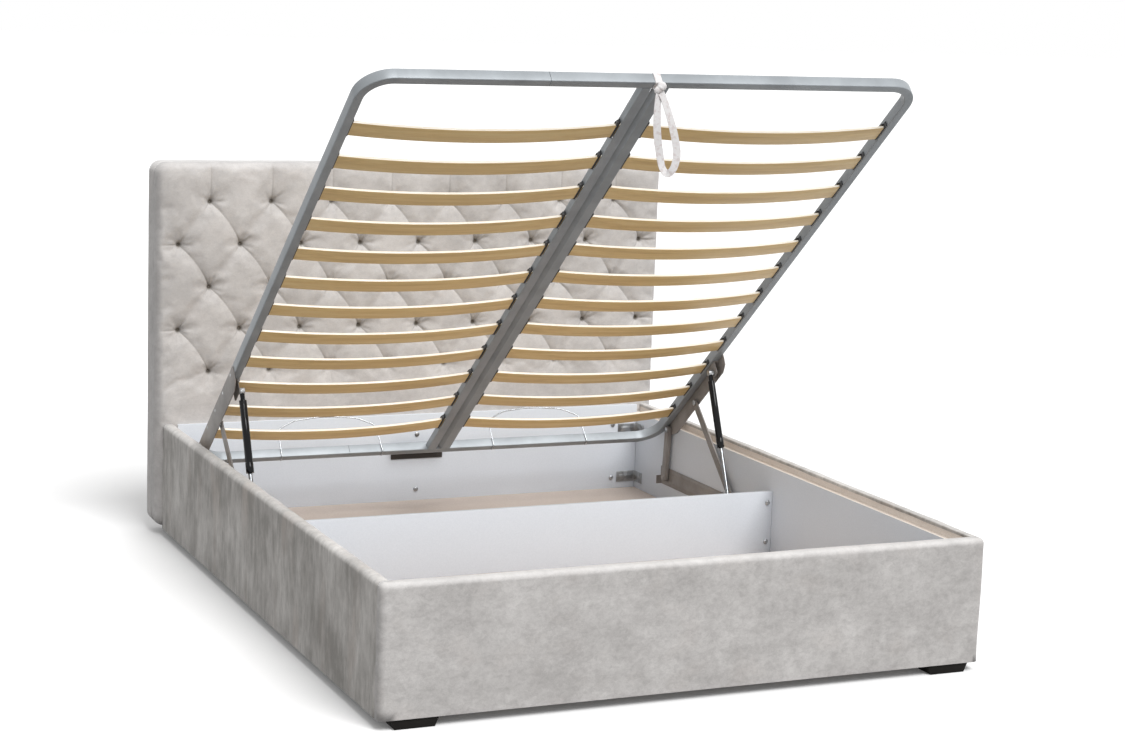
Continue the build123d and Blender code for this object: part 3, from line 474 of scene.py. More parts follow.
def keep_piece(bm, name, finishes, body, stands_for, smooth=sharp_angle):
    """Writes a bmesh as a piece of the bed."""
    mesh = bpy.data.meshes.new(name)
    bm.to_mesh(mesh)
    bm.free()
    for material in finishes if isinstance(finishes, list) else [finishes]:
        mesh.materials.append(material)
    mesh.shade_smooth()
    mesh.set_sharp_from_angle(angle=smooth)
    obj = bpy.data.objects.new(name, mesh)
    scene.collection.objects.link(obj)
    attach(obj, body)
    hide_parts(*stands_for)
    print(name, len(mesh.polygons), "faces")
    return obj


print("smooth up to", round(math.degrees(sharp_angle)), "degrees")

# %% [markdown]
# A part of the construction model comes as loose triangles. A copy is merged into clean faces first,
# because a bevel follows edges and would catch on every seam between two triangles.

# %% Clean copies, soft edges and cuts
soften_angle = math.radians(40)


def merged_copy(node):
    """A construction part's own shape as one clean bmesh, with flat areas as single faces."""
    bm = bmesh.new()
    bm.from_mesh(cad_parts[node].data)
    bmesh.ops.remove_doubles(bm, verts=bm.verts, dist=0.01 * mm)
    bmesh.ops.dissolve_limit(
        bm, angle_limit=math.radians(0.5), use_dissolve_boundaries=False, verts=bm.verts, edges=bm.edges
    )
    return bm


def round_off(bm, geom, width, segments, affect="EDGES", held=False):
    """Bevels edges or corners to a round of one width. Where held, it stops before it runs into another."""
    bmesh.ops.bevel(
        bm, geom=geom, offset=width, offset_type="OFFSET", segments=segments, profile=0.5, affect=affect,
        material=-1, clamp_overlap=held, loop_slide=held,
    )


def soften(bm, width):
    """Rounds every sharp edge a little, as a saw, a press or a mould leaves it."""
    joined = [edge for edge in bm.edges if len(edge.link_faces) == 2]
    round_off(bm, [edge for edge in joined if edge.calc_face_angle(0) > soften_angle], width, 2, held=True)


def slice_along(bm, axis, low, high, step):
    """Cuts a mesh with evenly spaced planes, so that it can be bent or dented."""
    count = max(1, round((high - low) / step))
    normal = [0, 0, 0]
    normal[axis] = 1
    for i in range(1, count):
        place = [0, 0, 0]
        place[axis] = low + (high - low) * i / count
        geom = list(bm.verts) + list(bm.edges) + list(bm.faces)
        bmesh.ops.bisect_plane(bm, geom=geom, plane_co=place, plane_no=normal)


print("edges over", round(math.degrees(soften_angle)), "degrees are softened")

# %% [markdown]
# ## Headboard
# The pad is foam under velvet, pinched by covered buttons in five offset rows. Pleats run from button to
# button, up to the top edge and out to the sides. The main form is worked out as a depth for each point of
# a fine sheet. Cloth pressure then fills the diamonds between the buttons, and the narrow stitched creases
# come last, because a simulation would smooth them away.

# %% Tuft layout
pad_low, pad_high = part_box("headboard_pad")
pad_front = pad_low.y
pad_back = pad_high.y
middle_z = (pad_high.z + pad_low.z) / 2
pitch_x = 200 * mm
pitch_z = 135 * mm
top_drop = 121 * mm
wide_count = 9
row_count = 5
strong_pleat, strong_bow = 1.0, 9 * mm
weak_pleat, weak_bow = 0.55, -5 * mm
edge_pleat = 0.6

rows = []
for row in range(row_count):
    count = wide_count - 1 + row % 2
    height = pad_high.z - top_drop - row * pitch_z
    rows.append([((i - (count - 1) / 2) * pitch_x, height) for i in range(count)])
buttons = [place for row in rows for place in row]
pleats = []
for upper, lower in zip(rows, rows[1:]):
    for x, z in upper:
        for x2, z2 in lower:
            if abs(abs(x2 - x) - pitch_x / 2) < mm:
                kind = (strong_pleat, strong_bow) if x2 > x else (weak_pleat, weak_bow)
                pleats.append((x, z, x2, z2, *kind))
edge_pleats = [(x, z, x, pad_high.z, edge_pleat, 0.0) for x, z in rows[0]]
for row in rows[1::2]:
    for x, z in (row[0], row[-1]):
        edge_pleats.append((x, z, math.copysign(pad_high.x, x), z, edge_pleat, 0.0))
print(len(buttons), "buttons", len(pleats), "pleats", len(edge_pleats), "pleats to the edges")

# %% [markdown]
# Tufts could be sculpted, or left to a simulation alone, but sewn ones have to sit exactly at their
# buttons. So the depth is a formula over distances: each pleat is a valley, deepest at its buttons, and
# each button is a pinch with a small hole. Added fourth powers, rooted again, join them like a soft
# maximum, with no ridges.

# %% Distances and depth
pinch_depth = 15 * mm
pinch_radius = 56 * mm
hole_depth = 18 * mm
hole_radius = 11.5 * mm
valley_depth = 7 * mm
valley_half = 38 * mm


def near(gap, reach, power=1.0):
    """1 where the gap is nothing, falling to 0 where it is the reach."""
    return np.clip(1 - gap / reach, 0, 1) ** power


def from_button(x, z, button):
    """Distance of each point to one button."""
    return np.hypot(x - button[0], z - button[1])


def from_pleat(x, z, pleat):
    """Distance of each point to one bowed pleat, and how far along the pleat it lies."""
    x0, z0, x1, z1, _, bow = pleat
    run = math.hypot(x1 - x0, z1 - z0)
    along = ((x - x0) * (x1 - x0) + (z - z0) * (z1 - z0)) / run**2
    held = np.clip(along, 0, 1)
    side = ((z - z0) * (x1 - x0) - (x - x0) * (z1 - z0)) / run - bow * 4 * held * (1 - held)
    return np.hypot(side, (along - held) * run), held


def tuft_depth(x, z):
    """How far the sheet lies behind the pad's front at each point."""
    total = np.zeros_like(x)
    for pleat in pleats:
        gap, along = from_pleat(x, z, pleat)
        depth = valley_depth * pleat[4] * (0.35 + 0.65 * np.abs(2 * along - 1) ** 1.5)
        total += (depth * near(gap, valley_half, 1.7)) ** 4
    for pleat in edge_pleats:
        gap, along = from_pleat(x, z, pleat)
        depth = valley_depth * pleat[4] * (1 - 0.6 * along)
        total += (depth * near(gap, valley_half, 1.7)) ** 4
    for button in buttons:
        total += (pinch_depth * near(from_button(x, z, button), pinch_radius, 1.6)) ** 4
    total = total ** 0.25
    for button in buttons:
        total += hole_depth * np.clip(1.25 - from_button(x, z, button) / hole_radius, 0, 1) ** 1.3
    return total


print("pinches", round(pinch_depth / mm), "mm deep, holes", round(hole_depth / mm), "mm more")

# %% [markdown]
# The sheet starts as a flat grid. The points in its corners are drawn in onto a round, the outer ones roll
# back over the edge, and the rim is pulled back twice to make the sides.

# %% Pad sheet
sheet_cell = 9 * mm
pad_corner = 34 * mm
pad_edge = 22 * mm


def pad_sheet():
    """Front sheet of the pad with rounded corners and edges, and its sides turned back."""
    width = pad_high.x - pad_low.x
    height = pad_high.z - pad_low.z
    across, upward = round(width / sheet_cell), round(height / sheet_cell)
    bm = bmesh.new()
    bmesh.ops.create_grid(bm, x_segments=across, y_segments=upward, size=0.5)
    bmesh.ops.scale(bm, vec=(width, height, 1), verts=bm.verts)
    bmesh.ops.rotate(bm, cent=(0, 0, 0), matrix=Matrix.Rotation(math.pi / 2, 3, "X"), verts=bm.verts)
    bmesh.ops.translate(bm, vec=(0, pad_front, middle_z), verts=bm.verts)
    straight_x = width / 2 - pad_corner
    straight_z = height / 2 - pad_corner
    for vert in bm.verts:
        out_x = abs(vert.co.x) - straight_x
        out_z = abs(vert.co.z - middle_z) - straight_z
        inward = pad_corner - max(out_x, out_z)
        if out_x > 0 and out_z > 0:
            share = max(out_x, out_z) / math.hypot(out_x, out_z)
            vert.co.x = math.copysign(straight_x + out_x * share, vert.co.x)
            vert.co.z = middle_z + math.copysign(straight_z + out_z * share, vert.co.z - middle_z)
        if inward < pad_edge:
            vert.co.y += pad_edge - math.sqrt(max(0, pad_edge**2 - (pad_edge - inward) ** 2))
    rim = [edge for edge in bm.edges if edge.is_boundary]
    for share in (0.5, 1.0):
        made = bmesh.ops.extrude_edge_only(bm, edges=rim)["geom"]
        rim = [item for item in made if isinstance(item, bmesh.types.BMEdge)]
        for vert in {v for edge in rim for v in edge.verts}:
            vert.co.y = pad_front + pad_edge + (pad_back - pad_front - pad_edge) * share
    bmesh.ops.recalc_face_normals(bm, faces=bm.faces)
    if sum(face.normal.y for face in bm.faces) > 0:
        bmesh.ops.reverse_faces(bm, faces=bm.faces)
    return bm


pad = keep_piece(
    pad_sheet(), "tufted_pad", velvet_headboard, "root", ["headboard_pad"], smooth=math.pi
)

# %% [markdown]
# A loop in Python over so many points is slow. So the points are read into one array, worked on all at
# once and written back.


# %% Tufts pressed into the sheet
def read_places(mesh):
    """A mesh's points as one array with a row for each."""
    places = np.empty(len(mesh.vertices) * 3)
    mesh.vertices.foreach_get("co", places)
    return places.reshape(-1, 3)


def write_places(mesh, places):
    """Puts the points back."""
    mesh.vertices.foreach_set("co", places.ravel())
    mesh.update()


def from_rim(places):
    """Distance of each point to the pad's outline, seen from the front."""
    return np.minimum(
        pad_high.x - np.abs(places[:, 0]), (pad_high.z - pad_low.z) / 2 - np.abs(places[:, 2] - middle_z)
    )


places = read_places(pad.data)
rim_gap = from_rim(places)
places[:, 1] += tuft_depth(places[:, 0], places[:, 2]) * np.clip(rim_gap / pad_edge, 0, 1)
write_places(pad.data, places)
print("deepest point", round(float(places[:, 1].max() - pad_front), 3))

# %% [markdown]
# Foam pushes the velvet out wherever nothing holds it. A cloth simulation with pressure does the same: the
# points at buttons, pleats and the rim are held by their weight, the rest swell, and a cap keeps the pad
# within its size. The result is applied to the mesh, so no cloth is left on the piece.

# %% Fill the pad by cloth pressure
cloth_steps = 20
hold_levels = 10
rim_hold = 14 * mm
pleat_hold = 14 * mm
button_hold = 16 * mm


def inflate(obj, hold, pressure, slack, cap):
    """Runs cloth pressure on a piece. Each point is held by its weight and moves no more than the cap."""
    before = read_places(obj.data)
    group = obj.vertex_groups.new(name="hold")
    for i in range(hold_levels + 1):
        members = np.nonzero(np.rint(hold * hold_levels).astype(int) == i)[0]
        if len(members):
            group.add(members.tolist(), i / hold_levels, "REPLACE")
    cloth = obj.modifiers.new("cloth", "CLOTH")
    settings = cloth.settings
    settings.quality = 5
    settings.mass = 0.3
    settings.tension_stiffness = 18
    settings.compression_stiffness = 18
    settings.shear_stiffness = 8
    settings.bending_stiffness = 0.6
    settings.use_pressure = True
    settings.uniform_pressure_force = pressure
    settings.shrink_min = -slack
    settings.vertex_group_mass = "hold"
    settings.pin_stiffness = 1.0
    settings.effector_weights.gravity = 0
    cloth.collision_settings.use_collision = False
    cloth.collision_settings.use_self_collision = False
    cloth.point_cache.frame_start = 1
    cloth.point_cache.frame_end = cloth_steps
    for step in range(1, cloth_steps + 1):
        scene.frame_set(step)
    done = obj.evaluated_get(bpy.context.evaluated_depsgraph_get())
    after = read_places(done.data)
    obj.modifiers.remove(cloth)
    scene.frame_set(1)
    move = after - before
    length = np.linalg.norm(move, axis=1, keepdims=True)
    move *= np.minimum(1, cap / np.maximum(length, 1e-9))
    write_places(obj.data, before + move)
    most = round(float(length.max() / mm), 1)
    print(obj.name, "moved by up to", most, "mm, capped at", round(cap / mm, 1))


x, z = places[:, 0], places[:, 2]
hold = near(rim_gap, rim_hold)
for pleat in pleats + edge_pleats:
    hold = np.maximum(hold, 0.4 * near(from_pleat(x, z, pleat)[0], pleat_hold))
for button in buttons:
    hold = np.maximum(hold, np.clip(1.6 - from_button(x, z, button) / button_hold, 0, 1))
inflate(pad, hold, pressure=1.2, slack=0.012, cap=6 * mm)

# %% [markdown]
# Stitched creases are only a few millimetres wide, so the sheet gets finer first: one subdivision
# everywhere and one more cut where a crease will run. Making all of it that fine would take four times the
# faces.

# %% Finer mesh along the pleats
crease_half = 6 * mm
crease_zone = 8 * mm
front_zone = pad_front + 45 * mm


def crease(x, z, half):
    """The narrow stitched line in each pleat, from 0 to 1, deepest beside its buttons."""
    total = np.zeros_like(x)
    for pleat in pleats:
        gap, along = from_pleat(x, z, pleat)
        away = np.abs(2 * along - 1)
        fade = 0.4 + 0.6 * away if pleat[4] == strong_pleat else 0.8 * np.clip(2 * away - 1, 0, 1)
        total = np.maximum(total, fade * near(gap, half))
    for pleat in edge_pleats:
        gap, along = from_pleat(x, z, pleat)
        total = np.maximum(total, 0.7 * (1 - along) ** 0.6 * near(gap, half))
    return total


finer = pad.modifiers.new("finer", "SUBSURF")
finer.levels = 1
finer.render_levels = 1
done = pad.evaluated_get(bpy.context.evaluated_depsgraph_get())
fine_mesh = bpy.data.meshes.new_from_object(done)
pad.modifiers.remove(finer)
pad.data = fine_mesh
bm = bmesh.new()
bm.from_mesh(pad.data)
points = np.array([vert.co for vert in bm.verts])
creased = (crease(points[:, 0], points[:, 2], crease_zone) > 0.02) & (points[:, 1] < front_zone)
edges = [edge for edge in bm.edges if creased[edge.verts[0].index] and creased[edge.verts[1].index]]
print(len(edges), "edges are cut once more")
bmesh.ops.subdivide_edges(bm, edges=edges, cuts=1, use_grid_fill=True)
bm.to_mesh(pad.data)
bm.free()

# %% [markdown]
# Now the creases are pressed in, with the short wrinkles that fan out where cloth is gathered into a hole.
# A fan is two waves round the button, shifted from one button to the next so that no two look alike. The
# back is closed last, so that the pad is one solid.

# %% Creases and puckers
crease_depth = 3.4 * mm
pucker_depth = 1.3 * mm
pucker_reach = 27 * mm
pucker_width = 17 * mm


def pucker(x, z):
    """Short wrinkles that fan out from each button, stronger towards its upper right."""
    total = np.zeros_like(x)
    for index, (bx, bz) in enumerate(buttons):
        reach = np.hypot(x - bx, z - bz)
        turn = np.arctan2(z - bz, x - bx)
        fan = np.cos(7 * turn + index * 1.7) + 0.7 * np.cos(12 * turn - index * 2.3)
        uneven = 0.55 + 0.6 * np.clip(np.cos(turn - math.pi / 4), 0, 1)
        total += pucker_depth * uneven * fan * np.exp(-(((reach - pucker_reach) / pucker_width) ** 2))
    return total


places = read_places(pad.data)
x, z = places[:, 0], places[:, 2]
on_front = np.clip(from_rim(places) / pad_edge, 0, 1) * (places[:, 1] < front_zone)
places[:, 1] += (crease_depth * crease(x, z, crease_half) + pucker(x, z)) * on_front
write_places(pad.data, places)
bm = bmesh.new()
bm.from_mesh(pad.data)
bmesh.ops.holes_fill(bm, edges=[edge for edge in bm.edges if edge.is_boundary], sides=0)
bm.to_mesh(pad.data)
bm.free()
print("pad", len(pad.data.polygons), "faces")

# %% [markdown]
# Velvet is painted darker where it is folded, as painted shade for the shade that gathers there. The
# narrowest folds are finer than any mesh, so each point keeps a share from 0 to 1 instead, and the velvet's
# material
# reads it as painted shade: the creases, thin wavy lines that leave each button, the hole round it and a
# soft painted shadow beside it, up and to the right.

# %% Painted fold shade for the velvet to read
fold_half = 3 * mm
hole_shade = 6.5 * mm
painted_shadow_reach = 38 * mm
painted_shadow_side = 11 * mm
painted_shadow_up = 12 * mm


def write_share(mesh, name, values):
    """Keeps a share from 0 to 1 at each point."""
    mesh.attributes.new(name, "FLOAT", "POINT").data.foreach_set("value", values)


places = read_places(pad.data)
x, z = places[:, 0], places[:, 2]
# All of this share is painted shade: the creases first, then for each button wavy lines, the hole and a
# painted shadow.
fold = 0.75 * crease(x, z, fold_half)
for index, (bx, bz) in enumerate(buttons):
    reach = np.hypot(x - bx, z - bz)
    turn = np.arctan2(z - bz, x - bx) + 0.15 * np.sin(reach / (9 * mm) + index)
    lines = np.maximum(np.cos(8 * turn + index * 2.1), 0.8 * np.cos(13 * turn - index * 1.3))
    uneven = 0.35 + 0.65 * np.clip(np.cos(turn - 0.8 + 0.5 * np.sin(index)), 0, 1)
    lines = 0.36 * uneven * np.clip(lines, 0, 1) ** 6 * np.exp(-(((reach - 20 * mm) / (19 * mm)) ** 2))
    hole = 0.9 * np.clip(1.8 - reach / hole_shade, 0, 1)
    # A soft painted shadow up and to the right of each button, on the side that the pinch shades.
    painted_shadow = 0.2 * near(from_button(x, z, (bx + painted_shadow_side, bz + painted_shadow_up)), painted_shadow_reach)
    fold = np.maximum.reduce([fold, lines, hole, painted_shadow])
write_share(pad.data, "fold", fold * (places[:, 1] < front_zone))
print("folded by more than half at", int((fold > 0.5).sum()), "of", len(fold), "points")

# %% [markdown]
# A covered button is a shallow dome. Its profile is spun once and repeated at every tuft, where it sits
# deep in the pinch so that the velvet closes round it.

# %% Buttons
button_radius = 8 * mm
button_crown = 5 * mm
button_seat = 30 * mm
dome_steps = 5


def round_heads(seats, radius, height, steps=16, rim_share=0.35):
    """Domed round heads at (centre, axis) seats: a short rim, then a quarter round up to the crown."""
    profile = [(0, 0), (radius, 0), (radius, height * rim_share)]
    for i in range(1, dome_steps):
        turn = math.pi / 2 * i / dome_steps
        profile.append((radius * math.cos(turn), height * (rim_share + (1 - rim_share) * math.sin(turn))))
    profile.append((0, height))
    bm = bmesh.new()
    for centre, axis in seats:
        axis = Vector(axis)
        side = axis.orthogonal().normalized()
        verts = [bm.verts.new(Vector(centre) + side * reach + axis * rise) for reach, rise in profile]
        edges = [bm.edges.new(pair) for pair in zip(verts, verts[1:])]
        bmesh.ops.spin(
            bm, geom=verts + edges, cent=centre, axis=axis, angle=math.tau, steps=steps, use_merge=True
        )
    bmesh.ops.remove_doubles(bm, verts=bm.verts, dist=0.005 * mm)
    bmesh.ops.recalc_face_normals(bm, faces=bm.faces)
    return bm


towards_foot = (0, -1, 0)
seats = [((bx, pad_front + button_seat, bz), towards_foot) for bx, bz in buttons]
domes = round_heads(seats, button_radius, button_crown, 18)
caps = keep_piece(domes, "covered_buttons", velvet_headboard, "root", ["headboard_buttons"])
# The buttons are painted with shade, as they sit deep in the shade of the pinch.
write_share(caps.data, "fold", np.full(len(caps.data.vertices), 0.6))

# %% [markdown]
# ## Covered rails and the headboard's back
# The rails are board with thin foam and velvet pulled tight. The construction model already has their true
# section with its rounding, so the lesson takes a merged copy, cuts it fine and lets the cloth wander by a
# millimetre or two, except along the bottom edge, which is fixed. What faces up is painted paler, as
# painted light from above.

# %% Covered rails
cover_step = 24 * mm
cover_smooth = math.radians(50)
painted_top_light_most = 0.30


def soft_cover(node, name, material, wander, ripple):
    """Cover whose faces swell and ripple a little."""
    low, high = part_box(node)
    bm = merged_copy(node)
    for axis in range(3):
        slice_along(bm, axis, low[axis], high[axis], cover_step)
    bmesh.ops.triangulate(bm, faces=[face for face in bm.faces if len(face.verts) > 4])
    bm.normal_update()
    moves = []
    for vert in bm.verts:
        share = 0.0 if vert.co.z < low.z + mm else 1.0
        swell = noise.fractal(vert.co * 5.0, 1.0, 2.0, 3)
        lines = noise.noise(Vector((vert.co.x * 16, vert.co.y * 16, vert.co.z * 3.5)))
        moves.append(vert.normal * share * (wander * swell + ripple * lines))
    for vert, move in zip(bm.verts, moves):
        vert.co += move
    obj = keep_piece(bm, name, material, "root", [node], smooth=cover_smooth)
    ups = np.array([vert.normal.z for vert in obj.data.vertices])
    # Painted light: the more a face looks up, the paler it is painted.
    write_share(obj.data, "rubbed", painted_top_light_most * np.clip((ups - 0.02) / 0.7, 0, 1))


soft_cover("foot_rail_cover", "foot_rail_velvet", velvet_front, 1.4 * mm, 0.5 * mm)
soft_cover("left_rail_cover", "left_rail_velvet", velvet_side, 1.2 * mm, 0.9 * mm)
soft_cover("right_rail_cover", "right_rail_velvet", velvet_side, 1.2 * mm, 0.9 * mm)
soft_cover("headboard_cover", "headboard_back_velvet", velvet_headboard, 0.8 * mm, 0.3 * mm)

# %% [markdown]
# ## Boards of the box
# Sawn boards have crisp edges that still catch a thin line of light. Merged copies get a half-millimetre
# bevel, and faces that look up on the liners take the raw board's colour, where the facing ends.

# %% Boards
saw_edge = 0.5 * mm
foot_edge = 1.5 * mm


def plain_copy(node, material, body="root", width=saw_edge, top=None):
    """Merged copy of a construction part with softened edges. What looks up may take a second material."""
    bm = merged_copy(node)
    soften(bm, width)
    if top is not None:
        bm.normal_update()
        for face in bm.faces:
            face.material_index = 1 if face.normal.z > 0.9 else 0
    materials = [material] if top is None else [material, top]
    return keep_piece(bm, node + "_dressed", materials, body, [node])


for node in ("left_liner", "right_liner", "foot_liner"):
    plain_copy(node, white_facing, top=raw_edge)
for node in ("rear_panel", "divider"):
    plain_copy(node, white_facing)
for node in ("left_rail_board", "right_rail_board", "foot_rail_board", "headboard_board"):
    plain_copy(node, raw_edge)
for node in ("front_bottom_board", "rear_bottom_board"):
    plain_copy(node, fibreboard)
for node in ("headboard_frame", "bottom_cleats"):
    plain_copy(node, timber)
for node in ("front_feet", "rear_feet"):
    plain_copy(node, foot_plastic, width=foot_edge)

# %% [markdown]
# ## Metal parts that keep the construction model's shape
# Plates, links, brackets and struts are pressed or turned parts whose outline is already right. Their
# edges get a small bevel, which is what makes pressed steel look pressed under a soft light. A strut's
# body is lacquered, and its top eye stays bare, so the faces near the top along the strut take the zinc.

# %% Plates, links and struts
press_edge = 0.45 * mm
rail_fold = 0.4 * mm
strut_axis = Vector((0, 0.392437, 0.919779))
strut_eye = 20 * mm


def bright_eye(obj):
    """Gives the eye at the top of a strut its bare metal."""
    obj.data.materials.append(zinc)
    top = max(vert.co.dot(strut_axis) for vert in obj.data.vertices)
    for face in obj.data.polygons:
        face.material_index = 1 if face.center.dot(strut_axis) > top - strut_eye else 0


for side in ("left", "right"):
    plain_copy(side + "_top_plate", link_paint, "slat_frame", press_edge)
    plain_copy(side + "_base_plate", link_paint, "root", press_edge)
    for part, material, slot in (
        ("_front_link", link_paint, "link_paint"),
        ("_rear_link", link_paint, "link_paint"),
        ("_strut_cylinder", strut_black, "strut_black"),
        ("_strut_rod", chrome, "rod_chrome"),
    ):
        made = plain_copy(side + part, material, side + part, press_edge)
        if part == "_strut_cylinder":
            bright_eye(made)
for node, body in (("base_pivots", "root"), ("frame_pivots", "slat_frame")):
    plain_copy(node, zinc, body, press_edge)
plain_copy("frame_rest", dark_steel, "root", press_edge)
plain_copy("centre_rail", frame_paint, "slat_frame", rail_fold)

# %% [markdown]
# A corner bracket is stamped from sheet and stiffened by a raised panel in each leg. That could be cut
# with a boolean, but two insets do it on the face itself: one leaves the flat rim, the next rises to the
# panel.

# %% Corner brackets
bracket_rim = 9 * mm
bracket_slope = 1.5 * mm
bracket_rise = 1.4 * mm
bracket_leg_area = 900 * mm**2

bm = merged_copy("box_brackets")
soften(bm, press_edge)
bm.normal_update()
legs = [face for face in bm.faces if face.calc_area() > bracket_leg_area and abs(face.normal.z) < 0.1]
for leg in legs:
    for thickness, depth in ((bracket_rim, 0.0), (bracket_slope, bracket_rise)):
        bmesh.ops.inset_region(bm, faces=[leg], thickness=thickness, depth=depth, use_even_offset=True)
keep_piece(bm, "pressed_brackets", zinc, "root", ["box_brackets"])
print(len(legs), "bracket faces raised")

# %% [markdown]
# The construction model holds each bolt and rivet as a plain round solid. Its box says where it sits and
# which way it looks, so the solids are told apart by following their edges, and each gets a domed head.

# %% Bolts and rivets
bolt_radius, bolt_height = 8 * mm, 5 * mm
rivet_radius, rivet_height = 5 * mm, 1.2 * mm


def solid_boxes(node):
    """Lowest and highest corner of each separate solid in a construction part."""
    bm = merged_copy(node)
    left = set(bm.verts)
    found = []
    while left:
        group = [left.pop()]
        for vert in group:
            for edge in vert.link_edges:
                other = edge.other_vert(vert)
                if other in left:
                    left.remove(other)
                    group.append(other)
        corners = np.array([vert.co for vert in group])
        found.append((Vector(corners.min(0)), Vector(corners.max(0))))
    bm.free()
    return found


seats = []
for low, high in solid_boxes("box_bolts"):
    seats.append((((low.x + high.x) / 2, high.y, (low.z + high.z) / 2), towards_foot))
bolts = round_heads(seats, bolt_radius, bolt_height, 20, 0.25)
keep_piece(bolts, "domed_bolts", zinc, "root", ["box_bolts"])
seats = []
for low, high in solid_boxes("plate_rivets"):
    sign = math.copysign(1, low.x)
    inner = low.x if sign > 0 else high.x
    seats.append(((inner, (low.y + high.y) / 2, (low.z + high.z) / 2), (sign, 0, 0)))
rivets = round_heads(seats, rivet_radius, rivet_height)
keep_piece(rivets, "round_rivets", zinc, "slat_frame", ["plate_rivets"])

# %% [markdown]
# ## Slat frame
# The frame is modelled lying flat in its own axes and then lifted as a whole by one matrix. x runs across
# the bed, minus y from the head end to the foot end, and z is the frame's own up.

# %% Lifted frame
lift_angle = math.radians(40.07)
head_corner = Vector((0, 768.2 * mm, 268 * mm))
lifted = Matrix.Translation(head_corner) @ Matrix.Rotation(-lift_angle, 4, "X")
frame_half = 800 * mm
frame_length = 1966 * mm
tube_width = 25 * mm
tube_height = 30 * mm
foot_low = lifted @ Vector((0, -frame_length, 0))
print("foot end of the frame", [round(v, 3) for v in foot_low])

# %% [markdown]
# Rectangular tube is bent on a former: straight runs joined by quarter turns. The same steps make the
# mesh. The section's end face is pulled straight, spun a quarter turn about each bend's centre and pulled
# again.

# %% Bent tubes
bend_radius = 90 * mm
bend_steps = 12
tube_round = 2.2 * mm
seam_x = -300 * mm
seam_gap = 0.5 * mm


def tube_section(bm, x):
    """Rounded rectangular end face on the foot-end rail, square to x."""
    outer_y, inner_y = -frame_length, -frame_length + tube_width
    corners = [(outer_y, 0), (inner_y, 0), (inner_y, tube_height), (outer_y, tube_height)]
    face = bm.faces.new([bm.verts.new((x, y, z)) for y, z in corners])
    round_off(bm, list(face.verts), tube_round, 4, "VERTICES")
    return list(bm.faces)


def pull(bm, faces, move):
    """Pulls faces along a vector and returns the new ones."""
    made = bmesh.ops.extrude_face_region(bm, geom=faces)["geom"]
    new_faces = [item for item in made if isinstance(item, bmesh.types.BMFace)]
    new_verts = [item for item in made if isinstance(item, bmesh.types.BMVert)]
    bmesh.ops.translate(bm, vec=move, verts=new_verts)
    bmesh.ops.delete(bm, geom=[face for face in faces if face.is_valid], context="FACES_ONLY")
    return new_faces


def spin_on(bm, faces, centre, angle):
    """Spins faces about the frame's own up axis and returns the last ones."""
    made = bmesh.ops.spin(
        bm, geom=faces, cent=centre, axis=(0, 0, 1), angle=angle, steps=bend_steps, use_duplicate=False
    )["geom_last"]
    return [item for item in made if isinstance(item, bmesh.types.BMFace)]


def bent_tube(start, side, node):
    """Half of the loop, from the seam on the foot-end rail round two bends to the head-end rail's seam."""
    bm = bmesh.new()
    reach = side * (frame_half - bend_radius)
    quarter = side * math.pi / 2
    faces = tube_section(bm, start)
    faces = pull(bm, faces, (reach - start, 0, 0))
    faces = spin_on(bm, faces, (reach, -frame_length + bend_radius, 0), quarter)
    faces = pull(bm, faces, (0, frame_length - 2 * bend_radius, 0))
    faces = spin_on(bm, faces, (reach, -bend_radius, 0), quarter)
    pull(bm, faces, (start - reach, 0, 0))
    bmesh.ops.remove_doubles(bm, verts=bm.verts, dist=0.01 * mm)
    bmesh.ops.recalc_face_normals(bm, faces=bm.faces)
    bmesh.ops.transform(bm, matrix=lifted, verts=bm.verts)
    keep_piece(bm, node + "_dressed", frame_paint, "slat_frame", [node])


bent_tube(seam_x + seam_gap, 1, "right_frame_tube")
bent_tube(seam_x - seam_gap, -1, "left_frame_tube")

# %% [markdown]
# ## Slats
# A sprung slat is a thin strip that is bowed along its length. One strip starts as a box, gets rounded
# long edges, is cut across into short lengths, and its points are then moved onto the bow. A curve could
# carry the section instead, but the box keeps its flat ends and its two finishes apart.

# %% Slats
slat_count = 12
slat_width = 53 * mm
slat_thick = 8 * mm
slat_pitch = 142 * mm
slat_foot = 1775 * mm
slat_low = 6.5 * mm
slat_sag = 24 * mm
slat_inner = 24 * mm
slat_outer = 789 * mm
slat_round = 1.6 * mm
slat_cuts = 18
slat_span = slat_outer - slat_inner
slat_middle = (slat_inner + slat_outer) / 2
bow_radius = ((slat_span / 2) ** 2 + slat_sag**2) / (2 * slat_sag)


def slat_head(index):
    """Distance from the frame's head end to the nearer edge of a slat row, counted from the foot end."""
    return slat_foot - index * slat_pitch - slat_width


def slat_row(index):
    """The two strips of one row, as one piece."""
    bm = bmesh.new()
    for side in (-1, 1):
        made = bmesh.ops.create_cube(bm, size=1)["verts"]
        bmesh.ops.scale(bm, vec=(slat_span, slat_width, slat_thick), verts=made)
        centre = (side * slat_middle, -slat_head(index) - slat_width / 2, slat_low + slat_thick / 2)
        bmesh.ops.translate(bm, vec=centre, verts=made)
    long_edges = [edge for edge in bm.edges if edge.calc_length() > slat_width * 2]
    round_off(bm, long_edges, slat_round, 3)
    slice_along(bm, 0, -slat_outer, -slat_inner, slat_span / slat_cuts)
    slice_along(bm, 0, slat_inner, slat_outer, slat_span / slat_cuts)
    for vert in bm.verts:
        off = abs(vert.co.x) - slat_middle
        vert.co.z -= math.sqrt(bow_radius**2 - off**2) - (bow_radius - slat_sag)
    bm.normal_update()
    for face in bm.faces:
        face.material_index = 1 if abs(face.normal.y) > 0.8 else 0
    bmesh.ops.transform(bm, matrix=lifted, verts=bm.verts)
    node = "slat_row_" + str(index + 1)
    keep_piece(bm, node + "_dressed", [beech_face, beech_side], "slat_frame", [node])


for index in range(slat_count):
    slat_row(index)

